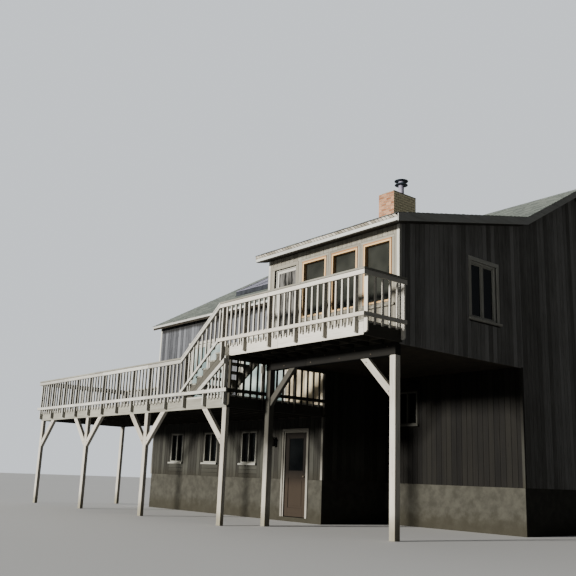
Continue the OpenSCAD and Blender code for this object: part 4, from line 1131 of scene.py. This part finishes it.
def brickRow(start, end, count, near, far, z, turned=False):
    pitch = (end - start) / count
    for k in range(count):
        a = start + k * pitch + (brick["joint"] if k else 0)
        b = start + (k + 1) * pitch - (brick["joint"] if k < count - 1 else 0)
        spans = (near, far, a, b) if turned else (a, b, near, far)
        bricks.plank(*spans, z, z + brick["high"], 1 if turned else 0)


z = mainRoof.top(stack.y0) - brick["below"]
long = True
while z + brick["high"] <= stack.z1 + 0.001:  # the front and the side take turns at the corners
    outX, outY = (proud, -bed - 0.01) if long else (-bed - 0.01, proud)
    for near, far in sides(stack.y0, stack.y1, -bed, proud):
        brickRow(stack.x0 - outX, stack.x1 + outX, 3 if long else 2, near, far, z)
    for near, far in sides(stack.x0, stack.x1, -bed, proud):
        brickRow(stack.y0 - outY, stack.y1 + outY, 4 if long else 5, near, far, z, True)
    z += brick["course"]
    long = not long
bricks.make("firedBrick", fineEdge)

crown = Joinery("stack_crown", 96)
crownRings = []
for outX, outY0, outY1, up in ((0.012, 0.012, 0.012, hair), (0.012, 0.012, 0.012, 0.025),
                               (-0.158, -0.488, -0.178, 0.06)):
    x0, x1, y0, y1 = stack.x0 - outX, stack.x1 + outX, stack.y0 - outY0, stack.y1 + outY1
    crownRings.append([(x, y, stack.z1 + up) for x, y in ((x0, y0), (x1, y0), (x1, y1), (x0, y1))])
crown.loft(crownRings)
crown.make("mortar", capEdge)

flash = {"out": 0.014, "in": 0.0085, "low": 0.012, "high": 0.12, "apron": 0.10, "past": 0.05}
sheets = Joinery("stack_flashing", 97)
for x0, x1 in sides(stack.x0, stack.x1, flash["in"], flash["out"]):
    outline = mainRoof.slab(stack.y0 - flash["out"], stack.y1 + flash["out"], flash["low"], flash["high"])
    sheets.prism(outline, 0, x0, x1, 1)
for y0, y1 in sides(stack.y0, stack.y1, flash["in"], flash["out"]):
    sheets.plank(stack.x0 - flash["in"], stack.x1 + flash["in"], y0, y1, mainRoof.top(y0) + flash["low"],
                 mainRoof.top(y0) + flash["high"])
sheets.prism(mainRoof.slab(stack.y0 - flash["apron"], stack.y0 - flash["in"], 0.014, 0.018), 0,
             stack.x0 - flash["past"], stack.x1 + flash["past"])
sheets.make("galvanised", 0)

flueBox = blockOf("chimney_flue")
flueAt, top, foot, pipe = (flueBox.x, flueBox.y, 0), flueBox.z1, stack.z1, 0.078
collar, sleeve = pipe + 0.004, pipe + 0.001
# Radius and height of each, the height from the stack's head or down from the flue's
flue = Joinery("flue_pipe", 98)
lows = [(pipe + 0.03, 0.045), (collar, 0.10), (pipe, 0.101)]
highs = [(pipe, 0.20), (collar, 0.199), (collar, 0.18), (pipe, 0.1795), (pipe, 0.058)]
flue.turned([(radius, foot + up) for radius, up in lows] + [(radius, top - down) for radius, down in highs],
            flueAt, 40)
flue.make("galvanised", 0, instead=["chimney_flue"])
hoods = Joinery("flue_hoods", 100)
for hood in ([(sleeve, 0.190), (0.190, 0.178), (0.190, 0.168), (sleeve + 0.01, 0.108), (sleeve, 0.108)],
             [(0.05, 0.057), (0.200, 0.057), (0.200, 0.047), (0.10, 0.016), (0.03, 0)]):
    hoods.turned([(radius, top - down) for radius, down in hood], flueAt, 40)
hoods.make("hoodMetal", 0)

# A small lantern beside the door: its plate, arm and stem, then its body as (radius, height)

lantern = {"x": 8.05, "z": 1.85, "out": 0.125, "parts": (
    (0.05, -0.035, -0.019, -0.09, 0.09, 2), (0.012, -0.10, -0.035, 0.10, 0.124, 1),
    (0.012, -0.035, -0.019, 0.09, 0.124, 2)),
    "body": ((0.035, -0.10), (0.055, -0.085), (0.06, 0.06), (0.085, 0.065), (0.02, 0.12), (0.02, 0.14),
             (0.005, 0.15))}
lamp = Joinery("wall_lantern", 99)
x, z = lantern["x"], lantern["z"]
for half, near, far, low, high, along in lantern["parts"]:
    lamp.plank(x - half, x + half, frontY + near, frontY + far, z + low, z + high, along)
lamp.turned([(radius, z + up) for radius, up in lantern["body"]], (x, frontY - lantern["out"], 0), 6)
lamp.make("lanternMetal", 0.001)

# Finishes of the CAD nodes that stay

kept = {
    "castConcrete": ["basement_slab", "foundation_front", "foundation_left", "foundation_back",
                     "right_foundation"],
    "wallCore": ["lower_front_wall", "wall_beside_door", "wall_over_door", "left_wall", "back_wall",
                 "middle_wall", "main_front_wall", "right_front_wall", "right_lower_wall", "tall_front_wall",
                 "tall_left_wall", "right_upper_wall"],
    "floorTimber": ["main_floor", "right_floor", "tall_floor"],
    "roofSheathing": ["main_roof_left", "main_roof_right", "main_roof_back", "tall_roof"],
    "mortar": ["chimney"],
    "darkPane": ["lower_window_glass", "side_window_glass", "basement_door_glass"],
    "skyReflectionPane": ["sliding_door_glass"],
}
for finish, nodes in kept.items():
    for node in nodes:
        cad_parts[node].data.materials.clear()
        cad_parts[node].data.materials.append(finishes[finish])
print("finishes set")

# Floor, light and camera


def placed(name, data):
    made = bpy.data.objects.new(name, data)
    bpy.context.scene.collection.objects.link(made)
    return made


paper = Finish("paper")
tint = paper.noise(paper.place(), 0.05, 1)
paper.surface(paper.mix(tint, shade((196, 196, 194)), shade((200, 200, 198))), 0.9)
reach = 120.0
ground = bpy.data.meshes.new("floor")
ground.from_pydata([(-reach, -reach, 0), (reach, -reach, 0), (reach, reach, 0), (-reach, reach, 0)],
                   [], [(0, 1, 2, 3)])
ground.materials.append(finishes["paper"])
placed("floor", ground)

sunLight = {"turn": 10, "rise": 8, "power": 10.5, "spread": 7, "colour": (1.0, 0.965, 0.91)}
key = bpy.data.lights.new("key", "SUN")
key.energy = sunLight["power"]
key.angle = math.radians(sunLight["spread"])
key.color = sunLight["colour"]
turn, up = math.radians(sunLight["turn"]), math.radians(sunLight["rise"])
towards = Vector((-math.sin(turn) * math.cos(up), -math.cos(turn) * math.cos(up), math.sin(up)))
sun = placed("key", key)
sun.rotation_euler = towards.to_track_quat("Z", "Y").to_euler()

# Where the photo was taken from, and the room around: pale behind the house, dim around the viewer
view = {"eye": (23.312, -9.5775, 1.016), "forward": (-0.7498, 0.6171, 0.2383), "lens": 48.22, "sensor": 36,
        "upward": (0.1598, -0.1806, 0.9704), "end": 500}
backdrop = {"dim": (0.085, 0.092, 0.100, 1), "bright": (0.86, 0.91, 0.96, 1), "from": 0.2, "to": 0.75}
forward = Vector(view["forward"]).normalized()
room = Finish("room", bpy.data.worlds)
behind = room.node("ShaderNodeVectorMath", {"operation": "DOT_PRODUCT"},
                   {0: room.node("ShaderNodeTexCoord"), 1: (forward.x, forward.y, 0.0)}, output=1)
glow = room.mix(room.ease(behind, backdrop["from"], backdrop["to"]), backdrop["dim"], backdrop["bright"])
room.node("ShaderNodeOutputWorld", None, {0: room.node("ShaderNodeBackground", None, {0: glow, 1: 1.0})})
bpy.context.scene.world = room.made

rightward = forward.cross(Vector(view["upward"])).normalized()
upward = rightward.cross(forward).normalized()
lens = bpy.data.cameras.new("camera")
lens.lens = view["lens"]
lens.sensor_width = view["sensor"]
lens.clip_end = view["end"]
camera = placed("camera", lens)
turning = Matrix((rightward, upward, -forward)).transposed()
camera.matrix_world = Matrix.Translation(Vector(view["eye"]) + corner) @ turning.to_4x4()
bpy.context.scene.camera = camera
print("stage, light and camera set")
